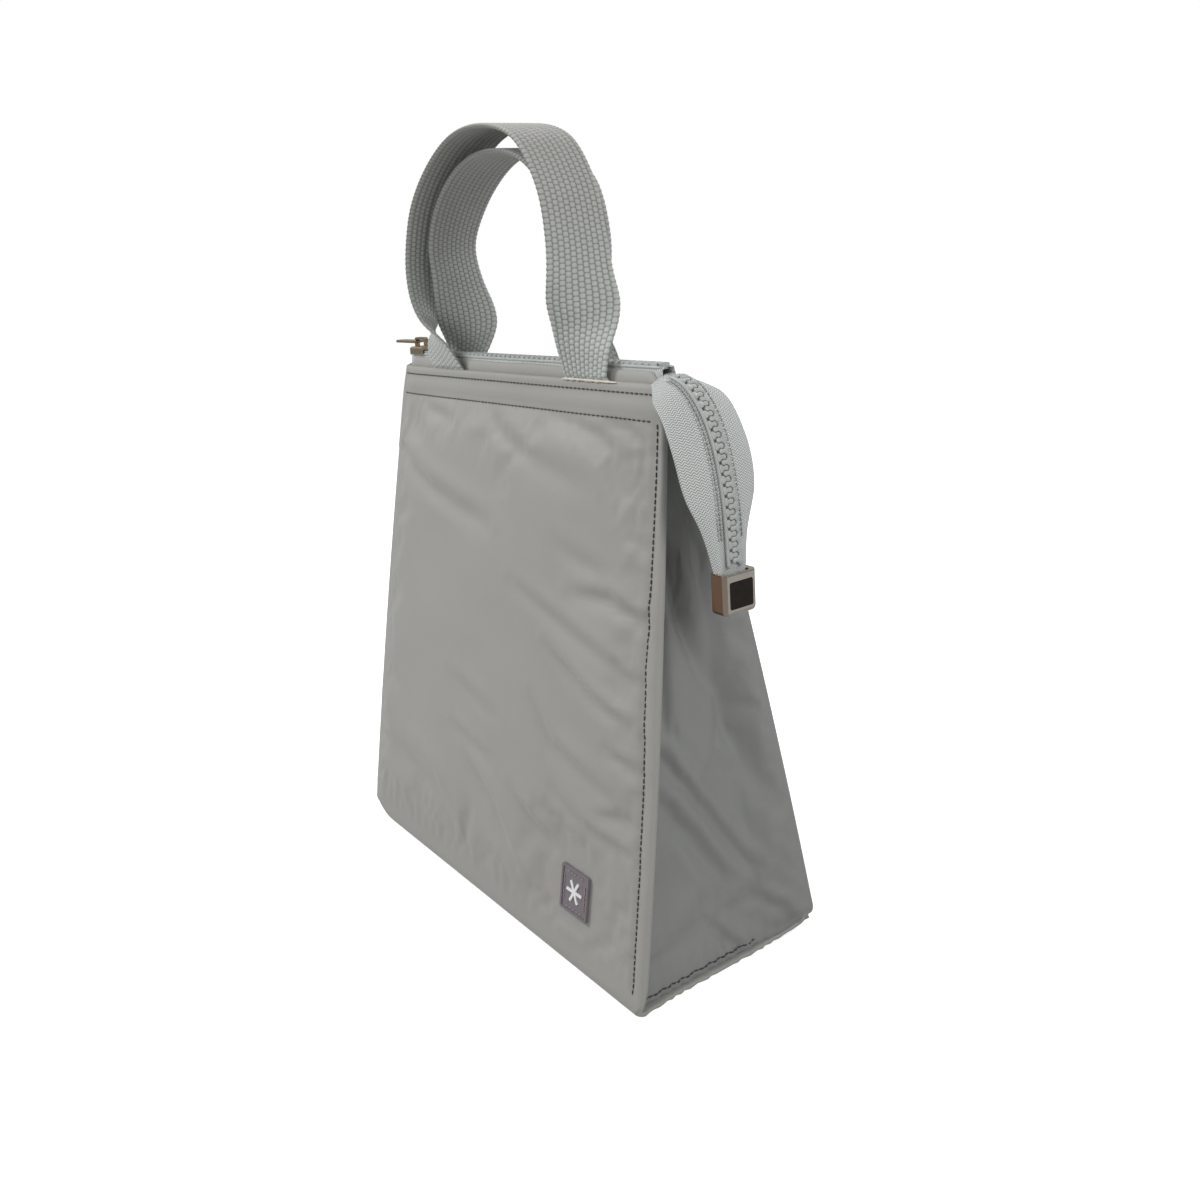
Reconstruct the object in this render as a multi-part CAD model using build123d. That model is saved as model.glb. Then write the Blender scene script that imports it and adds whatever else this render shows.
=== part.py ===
from build123d import *
from math import atan2, cos, degrees, hypot, radians, sin
import os

# Soft insulated lunch bag with a zip along its narrow top, two webbing loop handles and a free zip tail.
# Frame, in millimetres: origin at the centre of the base on the floor, X along the width with the zip
# tail at +X, Y through the depth with the badged front panel at -Y, Z up.

# ---------------------------------------------------------------- driving dimensions
HEIGHT = 255.0          # floor to the top edge of the front and back panels
BASE_WIDTH = 256.0      # outer width of the front panel at the floor, flanges included
TOP_WIDTH = 218.0       # outer width of the front panel at its top edge
BASE_DEPTH = 105.0      # outer depth of the base
TOP_DEPTH = 15.0        # outer depth of the closed mouth
BASE_FOLD_R = 8.0       # fold between the base and the front and back panels
CORNER_R = 10.0         # rounded lower corners of the front and back panels
FLANGE_BASE = 8.0       # how far the panel edges stand proud of the gussets, at the floor
FLANGE_TOP = 3.0        # the same at the top edge

SHELL_T = 0.8           # coated nylon
FOAM_T = 3.5            # insulating foam
LINING_T = 0.5          # foil lining
SLACK = 1.2             # loose fit of the shell over the foam panels
GUSSET_SLACK = 4.0      # the side foam stands further in, where the gusset folds inwards
FOAM_TOP = 236.0        # the foam stops below the hem
LINING_TOP = 247.0
GUSSET_TOP = 254.0

STRAP_W = 30.0          # webbing width
STRAP_T = 1.8           # webbing thickness
STRAP_BEAD_R = 1.0      # rounded foot of each loop, where it bends over the hem
STRAP_END_BOTTOM = 238.0
TRIM_H = 0.6            # cream edge that shows under the front strap

PLACKET_T = 0.6         # nylon strip between hem and zip
PLACKET_TOP = 259.5
TAPE_T = 0.7            # zip tape
TAPE_TOP = 261.2
MOUTH_HALF = 104.8      # half length of the zip between the gussets
RIDGE_PLACKET_Y = 4.1   # outer face of the placket where it ends
RIDGE_TAPE_Y = 2.9      # outer face of the tape where it ends

TOOTH_PITCH = 4.1
TOOTH_L = 2.3
TOOTH_T = 3.0
CHAIN_Z = 261.4         # middle of the teeth
CHAIN_HALF = 3.2        # outer side of the cord
CHAIN_GAP = 0.5         # each comb stops this far short of the centre line
CORD_W = 1.1            # cord that carries the teeth
CORD_H = 1.2
BITE = 0.05             # how far a tooth sinks into its cord
FIRST_TOOTH = 0.6       # place of the first tooth, in pitches from the end
STOP_L = 1.8            # moulded blocks at the closed end
STOP_BELOW = 1.0
STOP_ABOVE = 0.6

SLIDER_X = -97.5        # rest place of the slider, at the closed end
SLIDER_L = 13.0
SLIDER_HALF = 4.4
SLIDER_TOP_Z = 263.1    # under side of the top plate
SLIDER_PLATE = 1.7
PULL_PIVOT_X = SLIDER_X - 4.5
PULL_PIVOT_Z = 267.1
PULL_L = 22.0
PULL_W = 6.0

TAIL_HALF_W = 18.0
TAIL_NECK_HALF_W = 7.6
TAIL_T = 0.8
TAIL_BEAD_R = 0.8       # rolled fold on the line where the tail bends off the ridge
CAP_W = 17.0
CAP_D = 9.0
CAP_H = 16.5

BADGE_W = 20.0
BADGE_H = 21.0
BADGE_T = 1.6
BADGE_RECESS = 0.5      # depth of the patch's face below its rim
BADGE_X = 78.5
BADGE_Z = 38.5          # height of its middle, measured up the panel

FAR = 400.0             # larger than the bag, for cutting prisms
SLOPE = (BASE_DEPTH - TOP_DEPTH) / 2 / HEIGHT      # run of the front panel per unit of height
LEAN = (1 + SLOPE ** 2) ** 0.5                     # horizontal width of a unit of wall thickness
PANEL_ANGLE = degrees(atan2(SLOPE, 1))

# Webbing paths from the right foot over the top to the left foot: x, y, z of the middle of the strap,
# and the direction of its width in degrees from +X. Both straps are sewn flat in the hem and twist a
# quarter turn, so that the top of the loop lies flat in the hand. The back loop nests in the front one.
FRONT_LOOP = [
    (60, -8, 257, 0), (61, -8.5, 268, 12), (60.5, -6.5, 280, 36), (56.5, -4, 295, 76),
    (52, -1.5, 313, 88), (46.5, -1, 333, 90), (32, -1, 351.5, 90), (8, -1, 359, 90),
    (-18, -1, 358, 90), (-42, -1, 348, 90), (-62, -1, 332, 90), (-74, -1, 312, 94),
    (-77.5, -2, 295, 104), (-75, -5, 280, 130), (-65, -8.5, 268, 168), (-58, -8, 257, 180),
]
BACK_LOOP = [
    (50, 8, 257, 180), (48, 9.5, 268, 165), (46, 10.5, 280, 140), (44.5, 10, 295, 112),
    (43.5, 8, 313, 94), (38, 7, 332, 90), (24, 7, 344, 90), (4, 7, 349.5, 90),
    (-18, 7, 349, 90), (-38, 7, 342, 90), (-56, 7, 329, 94), (-67, 7, 313, 100),
    (-67.5, 8.5, 296, 94), (-67.5, 11, 281, 66), (-67, 11, 269, 28), (-66.5, 8, 257, 0),
]
# Middle line of the hanging zip tail in X and Z, from where it bends off the ridge to the end cap.
TAIL_LINE = [(107.6, 257.6), (117, 254), (125.5, 245), (131.5, 232), (135, 216), (136.5, 200), (137.5, 178)]


# ---------------------------------------------------------------- cutting shapes
def half_depth(z, inset=0.0):
    """Half the depth of the body at height z, measured inside a skin of thickness inset."""
    return BASE_DEPTH / 2 - SLOPE * z - inset * LEAN


def side_prism(inset, top=HEIGHT):
    """The body's side view, moved in by inset on the base, front and back, as a long prism along X."""
    outline = Plane.YZ * Polyline(
        (-half_depth(inset, inset), inset), (half_depth(inset, inset), inset),
        (half_depth(top, inset), top), (-half_depth(top, inset), top), close=True)
    face = make_face(outline)
    corners = face.vertices().sort_by(Axis.Z)[:2]
    face = fillet(corners, BASE_FOLD_R - inset)
    return extrude(face, FAR, both=True)


def front_prism(half_base, half_top, corner=0.0):
    """A front view with sloping sides, as a long prism along Y."""
    rise = half_top - half_base
    over = HEIGHT * 2
    outline = Plane.XZ * Polyline(
        (-half_base, 0), (half_base, 0), (half_base + rise * over / HEIGHT, over),
        (-half_base - rise * over / HEIGHT, over), close=True)
    face = make_face(outline)
    if corner:
        face = fillet(face.vertices().sort_by(Axis.Z)[:2], corner)
    return extrude(face, FAR, both=True)


def gusset_prism(depth):
    """The space between the two gussets, moved in by depth from their outer faces."""
    return front_prism(BASE_WIDTH / 2 - FLANGE_BASE - depth, TOP_WIDTH / 2 - FLANGE_TOP - depth)


def slab(x0, x1, y0, y1, z0, z1):
    """A box between two corners."""
    return Pos((x0 + x1) / 2, (y0 + y1) / 2, (z0 + z1) / 2) * Box(x1 - x0, y1 - y0, z1 - z0)


def wall(inset, thickness):
    """A skin of the base, front and back, open at the top."""
    return side_prism(inset) - side_prism(inset + thickness, HEIGHT + CORNER_R)


def sides(shape):
    """The shape and its mirror image across the YZ plane, left one first."""
    return mirror(shape, Plane.YZ), shape


def mirrored_in_depth(shape):
    """The same shape on the back of the bag."""
    return mirror(shape, Plane.XZ)


# ---------------------------------------------------------------- body: shell, foam and lining
def make_outer_wrap():
    outline = front_prism(BASE_WIDTH / 2, TOP_WIDTH / 2, CORNER_R)
    return wall(0, SHELL_T) & outline


def make_gusset(inset, depth, thickness, bottom, top):
    """One layer of the right-hand gusset, lying against the walls at the given inset."""
    layer = gusset_prism(depth) - gusset_prism(depth + thickness)
    return side_prism(inset) & layer & slab(0, FAR, -FAR, FAR, bottom, top)


def make_foam_panel():
    """Insulation of the front panel, from the base fold to just under the hem."""
    layer = wall(SHELL_T + SLACK, FOAM_T) & gusset_prism(SHELL_T)
    return layer & slab(-FAR, FAR, -FAR, 0, BASE_FOLD_R + SLACK, FOAM_TOP)


def make_foam_base():
    fold_reach = 1.3 * BASE_FOLD_R      # the fold starts this far in from the panels' foot
    half = BASE_DEPTH / 2 - fold_reach
    low = SHELL_T + SLACK
    return gusset_prism(SHELL_T) & slab(-FAR, FAR, -half, half, low, low + FOAM_T)


def make_lining_wrap():
    layer = wall(SHELL_T + SLACK + FOAM_T, LINING_T)
    return layer & gusset_prism(SHELL_T + GUSSET_SLACK + FOAM_T) & slab(-FAR, FAR, -FAR, FAR, 0, LINING_TOP)


# ---------------------------------------------------------------- mouth: straps, plackets and zip
def make_strap_ends(feet):
    """The sewn-in ends of one front webbing loop: flat pieces against the inside of the shell."""
    layer = wall(SHELL_T, STRAP_T)
    ends = [layer & slab(x - STRAP_W / 2, x + STRAP_W / 2, -FAR, 0, STRAP_END_BOTTOM, HEIGHT) for x in feet]
    return Compound(children=[solid for end in ends for solid in end.solids()])


def mouth_strip(inset, thickness, bottom, top, top_y):
    """A strip that stands inside the front wall and leans in to the ridge above it."""
    low = -half_depth(bottom, inset)
    edge = -half_depth(HEIGHT, inset)
    outline = Plane.YZ * Polyline(
        (low, bottom), (edge, HEIGHT), (-top_y, top), (-top_y + thickness, top),
        (edge + thickness, HEIGHT), (low + thickness, bottom), close=True)
    return extrude(make_face(outline), MOUTH_HALF, both=True)


def make_zip_comb(shift):
    """Cord and teeth of the front half of the chain, fused as they are when moulded on."""
    comb = slab(-MOUTH_HALF, MOUTH_HALF, -CHAIN_HALF, -CHAIN_HALF + CORD_W, TAPE_TOP, TAPE_TOP + CORD_H)
    count = int((2 * MOUTH_HALF - TOOTH_PITCH) / TOOTH_PITCH)
    foot = -CHAIN_HALF + CORD_W - BITE
    teeth = []
    for i in range(count):
        x = -MOUTH_HALF + TOOTH_PITCH * (i + FIRST_TOOTH) + shift
        teeth.append(slab(x - TOOTH_L / 2, x + TOOTH_L / 2, foot, -CHAIN_GAP,
                          CHAIN_Z - TOOTH_T / 2, CHAIN_Z + TOOTH_T / 2))
    return comb + teeth


def make_end_stop():
    """Two small blocks on the cords, just outside the closed end of the slider's travel."""
    block = slab(-MOUTH_HALF - STOP_L, -MOUTH_HALF, -CHAIN_HALF, -CHAIN_GAP,
                 CHAIN_Z - STOP_BELOW, CHAIN_Z + STOP_ABOVE)
    return Compound(children=[block, mirrored_in_depth(block)])


def make_slider():
    """Top and bottom plates joined by the wedge that parts the teeth, with a bridge for the puller."""
    edge_cut = 0.7          # bevel round the top plate
    lip_t = 0.8             # lips that hold the tapes in
    lip_h = 2.0
    bottom_half = 2.4       # bottom plate, inside the mouth
    bottom_t = 1.5
    post_half = 0.35        # the wedge between the plates
    bridge_half = 1.3
    bridge_h = 4.6
    bridge_round = 2.2
    bridge_wall = 1.1
    x0 = SLIDER_X - SLIDER_L / 2
    x1 = SLIDER_X + SLIDER_L / 2
    top = slab(x0, x1, -SLIDER_HALF, SLIDER_HALF, SLIDER_TOP_Z, SLIDER_TOP_Z + SLIDER_PLATE)
    top = chamfer(top.edges().group_by(Axis.Z)[-1], edge_cut)
    lip = slab(x0, x1, -SLIDER_HALF, -SLIDER_HALF + lip_t, SLIDER_TOP_Z - lip_h, SLIDER_TOP_Z)
    under_teeth = CHAIN_Z - TOOTH_T / 2 - 0.3
    bottom = slab(x0, x1, -bottom_half, bottom_half, under_teeth - bottom_t, under_teeth)
    post = slab(x0 + 1, x0 + 5, -post_half, post_half, under_teeth, SLIDER_TOP_Z)
    bridge_z = SLIDER_TOP_Z + SLIDER_PLATE
    arch = slab(x0 + 0.2, x1 - 1.5, -bridge_half, bridge_half, bridge_z - BITE, bridge_z + bridge_h)
    arch = fillet(arch.edges().filter_by(Axis.Y).group_by(Axis.Z)[-1], bridge_round)
    hole = slab(x0 + 1.0, x1 - 2.7, -2, 2, bridge_z, bridge_z + bridge_h - bridge_wall)
    hole = fillet(hole.edges().filter_by(Axis.Y).group_by(Axis.Z)[-1], bridge_round - bridge_wall)
    return top + lip + mirrored_in_depth(lip) + bottom + post + (arch - hole)


def make_pull_tab():
    """Cross pin under the bridge, two short arms and a long flat grip with a rounded end."""
    pin_r = 0.7
    half_t = 0.6
    end_round = 2.4
    window_half = 1.7       # room for the bridge between the arms
    window_reach = 3.4
    pin = Pos(PULL_PIVOT_X, 0, PULL_PIVOT_Z) * Rot(90, 0, 0) * Cylinder(pin_r, PULL_W - 1.0)
    outer = slab(PULL_PIVOT_X - PULL_L, PULL_PIVOT_X + pin_r, -PULL_W / 2, PULL_W / 2,
                 PULL_PIVOT_Z - half_t, PULL_PIVOT_Z + half_t)
    outer = fillet(outer.edges().filter_by(Axis.Z).group_by(Axis.X)[0], end_round)
    window = slab(PULL_PIVOT_X - window_reach, PULL_PIVOT_X + 2, -window_half, window_half,
                  PULL_PIVOT_Z - 2, PULL_PIVOT_Z + 2)
    return outer - window + pin


# ---------------------------------------------------------------- handles
def between(stations, share):
    """A smooth point on a list of stations; share runs from 0 at the first to 1 at the last."""
    place = share * (len(stations) - 1)
    i = min(int(place), len(stations) - 2)
    t = place - i
    before = stations[max(i - 1, 0)]
    a = stations[i]
    b = stations[i + 1]
    after = stations[min(i + 2, len(stations) - 1)]
    point = []
    for p, q, r, s in zip(before, a, b, after):
        bend = (2 * p - 5 * q + 4 * r - s) * t ** 2 + (3 * q - p - 3 * r + s) * t ** 3
        point.append(q + ((r - p) * t + bend) / 2)
    return point


def strap_section(stations, share):
    """The rectangle of webbing at one place on a loop, with its width always level."""
    x, y, z, turn = between(stations, share)
    ahead = between(stations, min(share + 0.01, 1))
    behind = between(stations, max(share - 0.01, 0))
    along = Vector(*[p - q for p, q in zip(ahead[:3], behind[:3])]).normalized()
    if share in (0, 1):
        along = Vector(0, 0, 1 if share == 0 else -1)
    width = Vector(cos(radians(turn)), sin(radians(turn)), 0)
    across = along - width * along.dot(width)
    return Plane(origin=(x, y, z), x_dir=width, z_dir=across) * Rectangle(STRAP_W, STRAP_T)


def make_handle(stations, sections=31):
    """A webbing loop with a rounded bead at each foot, on the line where it bends over the hem."""
    faces = [strap_section(stations, i / (sections - 1)).face() for i in range(sections)]
    loop = loft(faces, ruled=True)
    for x, y, z, _turn in (stations[0], stations[-1]):
        loop += Pos(x, y, z) * Rot(0, 90, 0) * Cylinder(STRAP_BEAD_R, STRAP_W + 1)
    return loop


def make_strap_trim():
    """The cream edge of the strap facing, a thin bead along the hem at the right front foot."""
    trim_extra = 8.0        # the facing is wider than the strap, and off centre
    trim_t = 1.2
    x = FRONT_LOOP[0][0] + trim_extra / 4
    y = -half_depth(HEIGHT, SHELL_T / 2)
    return Pos(x, y, HEIGHT + TRIM_H / 2) * Box(STRAP_W + trim_extra, trim_t, TRIM_H)


# ---------------------------------------------------------------- zip tail
def tail_points(offset):
    """The tail's line moved outwards by offset, as points close enough to look smooth."""
    steps = 24
    points = []
    for i in range(steps + 1):
        x, z = between(TAIL_LINE, i / steps)
        x1, z1 = between(TAIL_LINE, min(i / steps + 0.01, 1))
        x0, z0 = between(TAIL_LINE, max(i / steps - 0.01, 0))
        run = hypot(x1 - x0, z1 - z0)
        points.append((x - offset * (z1 - z0) / run, z + offset * (x1 - x0) / run))
    return points


def tail_band(inner, outer, y0, y1):
    """A curved strip between two offsets of the tail's line and two depths."""
    outline = tail_points(inner) + tail_points(outer)[::-1]
    face = make_face(Plane.XZ * Polyline(*outline, close=True))
    return Pos(0, y1, 0) * extrude(face, y1 - y0)


def make_tail_tape():
    """The front half of the tail's tape, drawn in to a neck where the cap holds it."""
    seam = 0.05
    x, z = TAIL_LINE[0]
    band = tail_band(-TAIL_T / 2, TAIL_T / 2, -TAIL_HALF_W, -seam)
    band += Pos(x, -(TAIL_HALF_W + seam) / 2, z) * Rot(90, 0, 0) * Cylinder(TAIL_BEAD_R, TAIL_HALF_W - seam)
    neck_z = TAIL_LINE[-1][1] + CAP_H / 2 + 2
    neck_l = 26.0           # the tape is folded in over this length
    outline = Plane.YZ * Polyline(
        (0, 0), (-TAIL_NECK_HALF_W, 0), (-TAIL_NECK_HALF_W, neck_z), (-TAIL_HALF_W, neck_z + neck_l),
        (-TAIL_HALF_W, FAR), (0, FAR), close=True)
    return band & extrude(make_face(outline), FAR, both=True)


def make_tail_comb(shift):
    """Cord and teeth on the outer face of the front half of the tail."""
    cord_h = 1.0
    tooth_h = 1.9
    tooth_foot = CHAIN_HALF - 0.8       # each tooth starts this far from the centre line
    cord = tail_band(TAIL_T / 2, TAIL_T / 2 + cord_h, -CHAIN_HALF, -CHAIN_HALF + CORD_W)
    length = sum(hypot(b[0] - a[0], b[1] - a[1]) for a, b in zip(TAIL_LINE, TAIL_LINE[1:]))
    reach = length - CAP_H - 4
    teeth = []
    for i in range(int(reach / TOOTH_PITCH)):
        share = (TOOTH_PITCH * (i + 0.8) + shift) / length
        x, z = between(TAIL_LINE, share)
        x1, z1 = between(TAIL_LINE, share + 0.01)
        slope = degrees(atan2(z1 - z, x1 - x))
        tooth = Pos(0, -(tooth_foot + CHAIN_GAP) / 2, TAIL_T / 2 + 0.1 + tooth_h / 2) * Box(
            TOOTH_L, tooth_foot - CHAIN_GAP, tooth_h)
        teeth.append(Pos(x, 0, z) * Rot(0, -slope, 0) * tooth)
    past_fold = TAIL_LINE[0][0] + TAIL_BEAD_R + 0.3
    keep = slab(past_fold, FAR, -FAR, FAR, TAIL_LINE[-1][1] + CAP_H / 2 + 0.5, FAR)
    return (cord + teeth) & keep


def make_end_cap():
    """A folded metal cap with bevelled edges, open at the top for the tape."""
    bevel = 1.2
    wall_x = 1.2
    wall_y = 0.7
    floor_t = 1.5
    x, z = TAIL_LINE[-1]
    middle = x - TAIL_T / 2
    body = Pos(middle, 0, z) * Box(CAP_D, CAP_W, CAP_H)
    body = chamfer(body.edges(), bevel)
    pocket = Pos(middle, 0, z + floor_t) * Box(CAP_D - 2 * wall_x, CAP_W - 2 * wall_y, CAP_H)
    return body - pocket


# ---------------------------------------------------------------- badge and visible threads
def on_front_panel(x, z, proud):
    """A place on the outside of the front panel, turned so that its Z axis points out of the panel."""
    return Pos(x, -half_depth(z), z) * Rot(90 - PANEL_ANGLE, 0, 0) * Pos(0, 0, proud)


def make_badge_patch():
    """A moulded patch with a raised rim."""
    corner = 1.0
    rim = 1.2
    place = on_front_panel(BADGE_X, BADGE_Z, BADGE_T / 2)
    patch = Box(BADGE_W, BADGE_H, BADGE_T)
    patch = fillet(patch.edges().filter_by(Axis.Z), corner)
    floor = Pos(0, 0, BADGE_T / 2) * Box(BADGE_W - 2 * rim, BADGE_H - 2 * rim, 2 * BADGE_RECESS)
    return place * (patch - floor)


def make_badge_emblem():
    """A plain six-armed frost star on the patch."""
    star_t = 0.5
    hub_r = 1.6
    arm_l = 11.0
    arm_w = 1.3
    star = Cylinder(hub_r, star_t)
    for i in range(3):
        star += Rot(0, 0, 60 * i) * Box(arm_l, arm_w, star_t)
    return on_front_panel(BADGE_X, BADGE_Z, BADGE_T - BADGE_RECESS + star_t / 2) * star


def make_badge_stitching():
    """A row of stitches inside the rim of the patch."""
    thread = 0.4
    inset = 2.3
    stitch = 1.6
    pitch = 2.4
    place = on_front_panel(BADGE_X, BADGE_Z, BADGE_T - BADGE_RECESS + thread / 2)
    half_w = BADGE_W / 2 - inset
    half_h = BADGE_H / 2 - inset
    stitches = []
    for i in range(-2, 3):
        for side in (-1, 1):
            stitches.append(Pos(i * pitch, side * half_h, 0) * Box(stitch, thread, thread))
            stitches.append(Pos(side * half_w, i * pitch, 0) * Box(thread, stitch, thread))
    return Compound(children=[place * stitch_box for stitch_box in stitches])


def make_hem_stitching():
    """Two rows of long stitches under the top edge of the front and back panels."""
    pitch = 6.0
    gap = 1.6
    thread_w = 0.5
    thread_t = 0.3
    half = TOP_WIDTH / 2 - 5
    stitches = []
    for z in (HEIGHT - 3.5, HEIGHT - 13.5):
        for i in range(int(2 * half / pitch)):
            x = -half + pitch * (i + 0.5)
            stitch = on_front_panel(x, z, thread_t / 2) * Box(pitch - gap, thread_w, thread_t)
            stitches.append(stitch)
            stitches.append(mirrored_in_depth(stitch))
    return Compound(children=stitches)


def make_gusset_stitching():
    """Dark thread along the outside of each gusset, where it is sewn to the panels and the base."""
    seam = 0.6
    ring = side_prism(SHELL_T) - side_prism(SHELL_T + seam, HEIGHT + CORNER_R)
    layer = gusset_prism(-seam) - gusset_prism(0)
    thread = ring & layer & slab(0, FAR, -FAR, FAR, SHELL_T, GUSSET_TOP)
    return Compound(children=[s for side in sides(thread) for s in side.solids()])


# ---------------------------------------------------------------- every piece, by name
def all_pieces():
    deep = SHELL_T + SLACK + FOAM_T
    foam_depth = SHELL_T + GUSSET_SLACK
    gusset_shell = sides(make_gusset(SHELL_T, 0, SHELL_T, SHELL_T, GUSSET_TOP))
    gusset_foam = sides(make_gusset(deep, foam_depth, FOAM_T, deep, FOAM_TOP))
    gusset_lining = sides(make_gusset(deep + LINING_T, foam_depth + FOAM_T, LINING_T, deep, LINING_TOP))
    foam_front = make_foam_panel()
    strap_inset = SHELL_T + STRAP_T
    placket = mouth_strip(strap_inset, PLACKET_T, STRAP_END_BOTTOM, PLACKET_TOP, RIDGE_PLACKET_Y)
    tape = mouth_strip(strap_inset + PLACKET_T, TAPE_T, STRAP_END_BOTTOM, TAPE_TOP, RIDGE_TAPE_Y)
    tail_tape = make_tail_tape()
    return {
        "outer_wrap": make_outer_wrap(),
        "outer_gusset_left": gusset_shell[0],
        "outer_gusset_right": gusset_shell[1],
        "foam_front": foam_front,
        "foam_back": mirrored_in_depth(foam_front),
        "foam_base": make_foam_base(),
        "foam_gusset_left": gusset_foam[0],
        "foam_gusset_right": gusset_foam[1],
        "lining_wrap": make_lining_wrap(),
        "lining_gusset_left": gusset_lining[0],
        "lining_gusset_right": gusset_lining[1],
        "strap_ends_front": make_strap_ends([FRONT_LOOP[0][0], FRONT_LOOP[-1][0]]),
        "strap_ends_back": mirrored_in_depth(make_strap_ends([BACK_LOOP[0][0], BACK_LOOP[-1][0]])),
        "strap_trim": make_strap_trim(),
        "placket_front": placket,
        "placket_back": mirrored_in_depth(placket),
        "zip_tape_front": tape,
        "zip_tape_back": mirrored_in_depth(tape),
        "zip_teeth_front": make_zip_comb(0),
        "zip_teeth_back": mirrored_in_depth(make_zip_comb(TOOTH_PITCH / 2)),
        "zip_end_stop": make_end_stop(),
        "slider_body": make_slider(),
        "pull_tab": make_pull_tab(),
        "tail_tape_front": tail_tape,
        "tail_tape_back": mirrored_in_depth(tail_tape),
        "tail_teeth_front": make_tail_comb(0),
        "tail_teeth_back": mirrored_in_depth(make_tail_comb(TOOTH_PITCH / 2)),
        "tail_end_cap": make_end_cap(),
        "handle_front": make_handle(FRONT_LOOP),
        "handle_back": make_handle(BACK_LOOP),
        "badge_patch": make_badge_patch(),
        "badge_emblem": make_badge_emblem(),
        "badge_stitching": make_badge_stitching(),
        "hem_stitching": make_hem_stitching(),
        "gusset_stitching": make_gusset_stitching(),
    }


os.makedirs("parts", exist_ok=True)
for name, piece in all_pieces().items():
    export_step(piece, f"parts/{name}.step")
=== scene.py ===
from math import cos, pi, radians, sin

import bpy
import numpy as np
from mathutils import Matrix, Vector, noise


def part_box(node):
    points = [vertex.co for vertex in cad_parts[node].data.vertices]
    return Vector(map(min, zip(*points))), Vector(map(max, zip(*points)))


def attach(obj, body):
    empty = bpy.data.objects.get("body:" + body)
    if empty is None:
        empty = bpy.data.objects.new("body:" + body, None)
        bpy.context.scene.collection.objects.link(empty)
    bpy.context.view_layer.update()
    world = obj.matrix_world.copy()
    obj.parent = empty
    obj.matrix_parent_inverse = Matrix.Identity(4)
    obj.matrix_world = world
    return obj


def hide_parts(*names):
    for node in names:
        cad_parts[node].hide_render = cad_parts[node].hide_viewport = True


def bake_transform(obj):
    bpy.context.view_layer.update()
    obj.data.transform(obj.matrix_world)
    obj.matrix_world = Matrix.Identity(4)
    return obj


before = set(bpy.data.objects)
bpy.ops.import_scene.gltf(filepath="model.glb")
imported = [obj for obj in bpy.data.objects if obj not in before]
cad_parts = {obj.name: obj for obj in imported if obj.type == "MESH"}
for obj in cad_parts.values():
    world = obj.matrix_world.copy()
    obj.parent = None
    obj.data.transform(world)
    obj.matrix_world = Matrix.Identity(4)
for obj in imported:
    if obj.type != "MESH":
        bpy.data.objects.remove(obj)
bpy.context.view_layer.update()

# Looks of a soft insulated lunch bag. Lengths in this script are in millimetres and become metres when a
# mesh is made. X runs along the width with the zip tail at +X, the badged front panel is at -Y, Z is up.

MM = 0.001


def cad_box(node):
    """Lowest and highest corner of a CAD node, in millimetres."""
    low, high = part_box(node)
    return np.array(low) / MM, np.array(high) / MM


WRAP_HIGH = cad_box("outer_wrap")[1]
GUSSET_HIGH = cad_box("outer_gusset_right")[1]
PLACKET_HIGH = cad_box("placket_front")[1]
TAPE_HIGH = cad_box("zip_tape_front")[1]
CAP_LOW, CAP_HIGH = cad_box("tail_end_cap")

HEIGHT = WRAP_HIGH[2]
HALF_W = 128.0            # half the width of a panel at the floor
HALF_D = 52.5             # half the depth of the base
TOP_HALF_W = 109.0        # half the width of a panel at its top edge
TOP_HALF_D = 7.5          # half the depth of the closed mouth
SLOPE = (HALF_D - TOP_HALF_D) / HEIGHT
LEAN = (1 + SLOPE ** 2) ** 0.5
CLOTH_T = 0.8             # thickness of the shell, gussets and tail tape
FOLD_R = 6.0              # fold between the base and a panel
CORNER_R = 10.0           # how a panel's edge turns in to the base
CORNER_RADII = {(-1, -1): 24.0, (1, -1): 7.0, (-1, 1): 15.0, (1, 1): 15.0}      # keys: sides in X and Y
EDGE_T = 4.8              # thickness of the padded panel edge
BASE_EDGE_T = 2.2         # its thickness along the base
LIP = 2.6                 # how far the base stands out past the gussets
EDGE_STEPS = 10           # rows of points round a padded edge
ACROSS = 129              # points across the flat of the wrap
GUSSET_BASE = GUSSET_HIGH[0]
GUSSET_TOP = 106.0        # half the distance between the gussets at the top
GUSSET_ACROSS = 61        # points across a gusset
HEM_ROWS = (HEIGHT - 3.5, HEIGHT - 13.5)      # heights of the two rows of hem stitches
BADGE_AT = (78.5, 38.5)   # x and z of the middle of the badge
MOST_SETTLE = 2.4         # furthest that simulated cloth may move
LEAST_RELIEF = -1.1       # furthest that a panel may sink towards its foam
INNER_TAPER = 8.0         # how much narrower the inner layers are than their solids at the mouth
MOUTH_HALF = PLACKET_HIGH[0]
RIDGE_END = TAPE_HIGH[0]
RIDGE_Z = PLACKET_HIGH[2]
CHAIN_Z = TAPE_HIGH[2] + 0.2      # middle of the teeth along the mouth
TOOTH_PITCH = 4.1
STRAP_W = 30.0
STRAP_T = 1.8
TUFT_W = STRAP_W / 11     # eleven tufts across the strap
TUFT_L = 2.3

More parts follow.
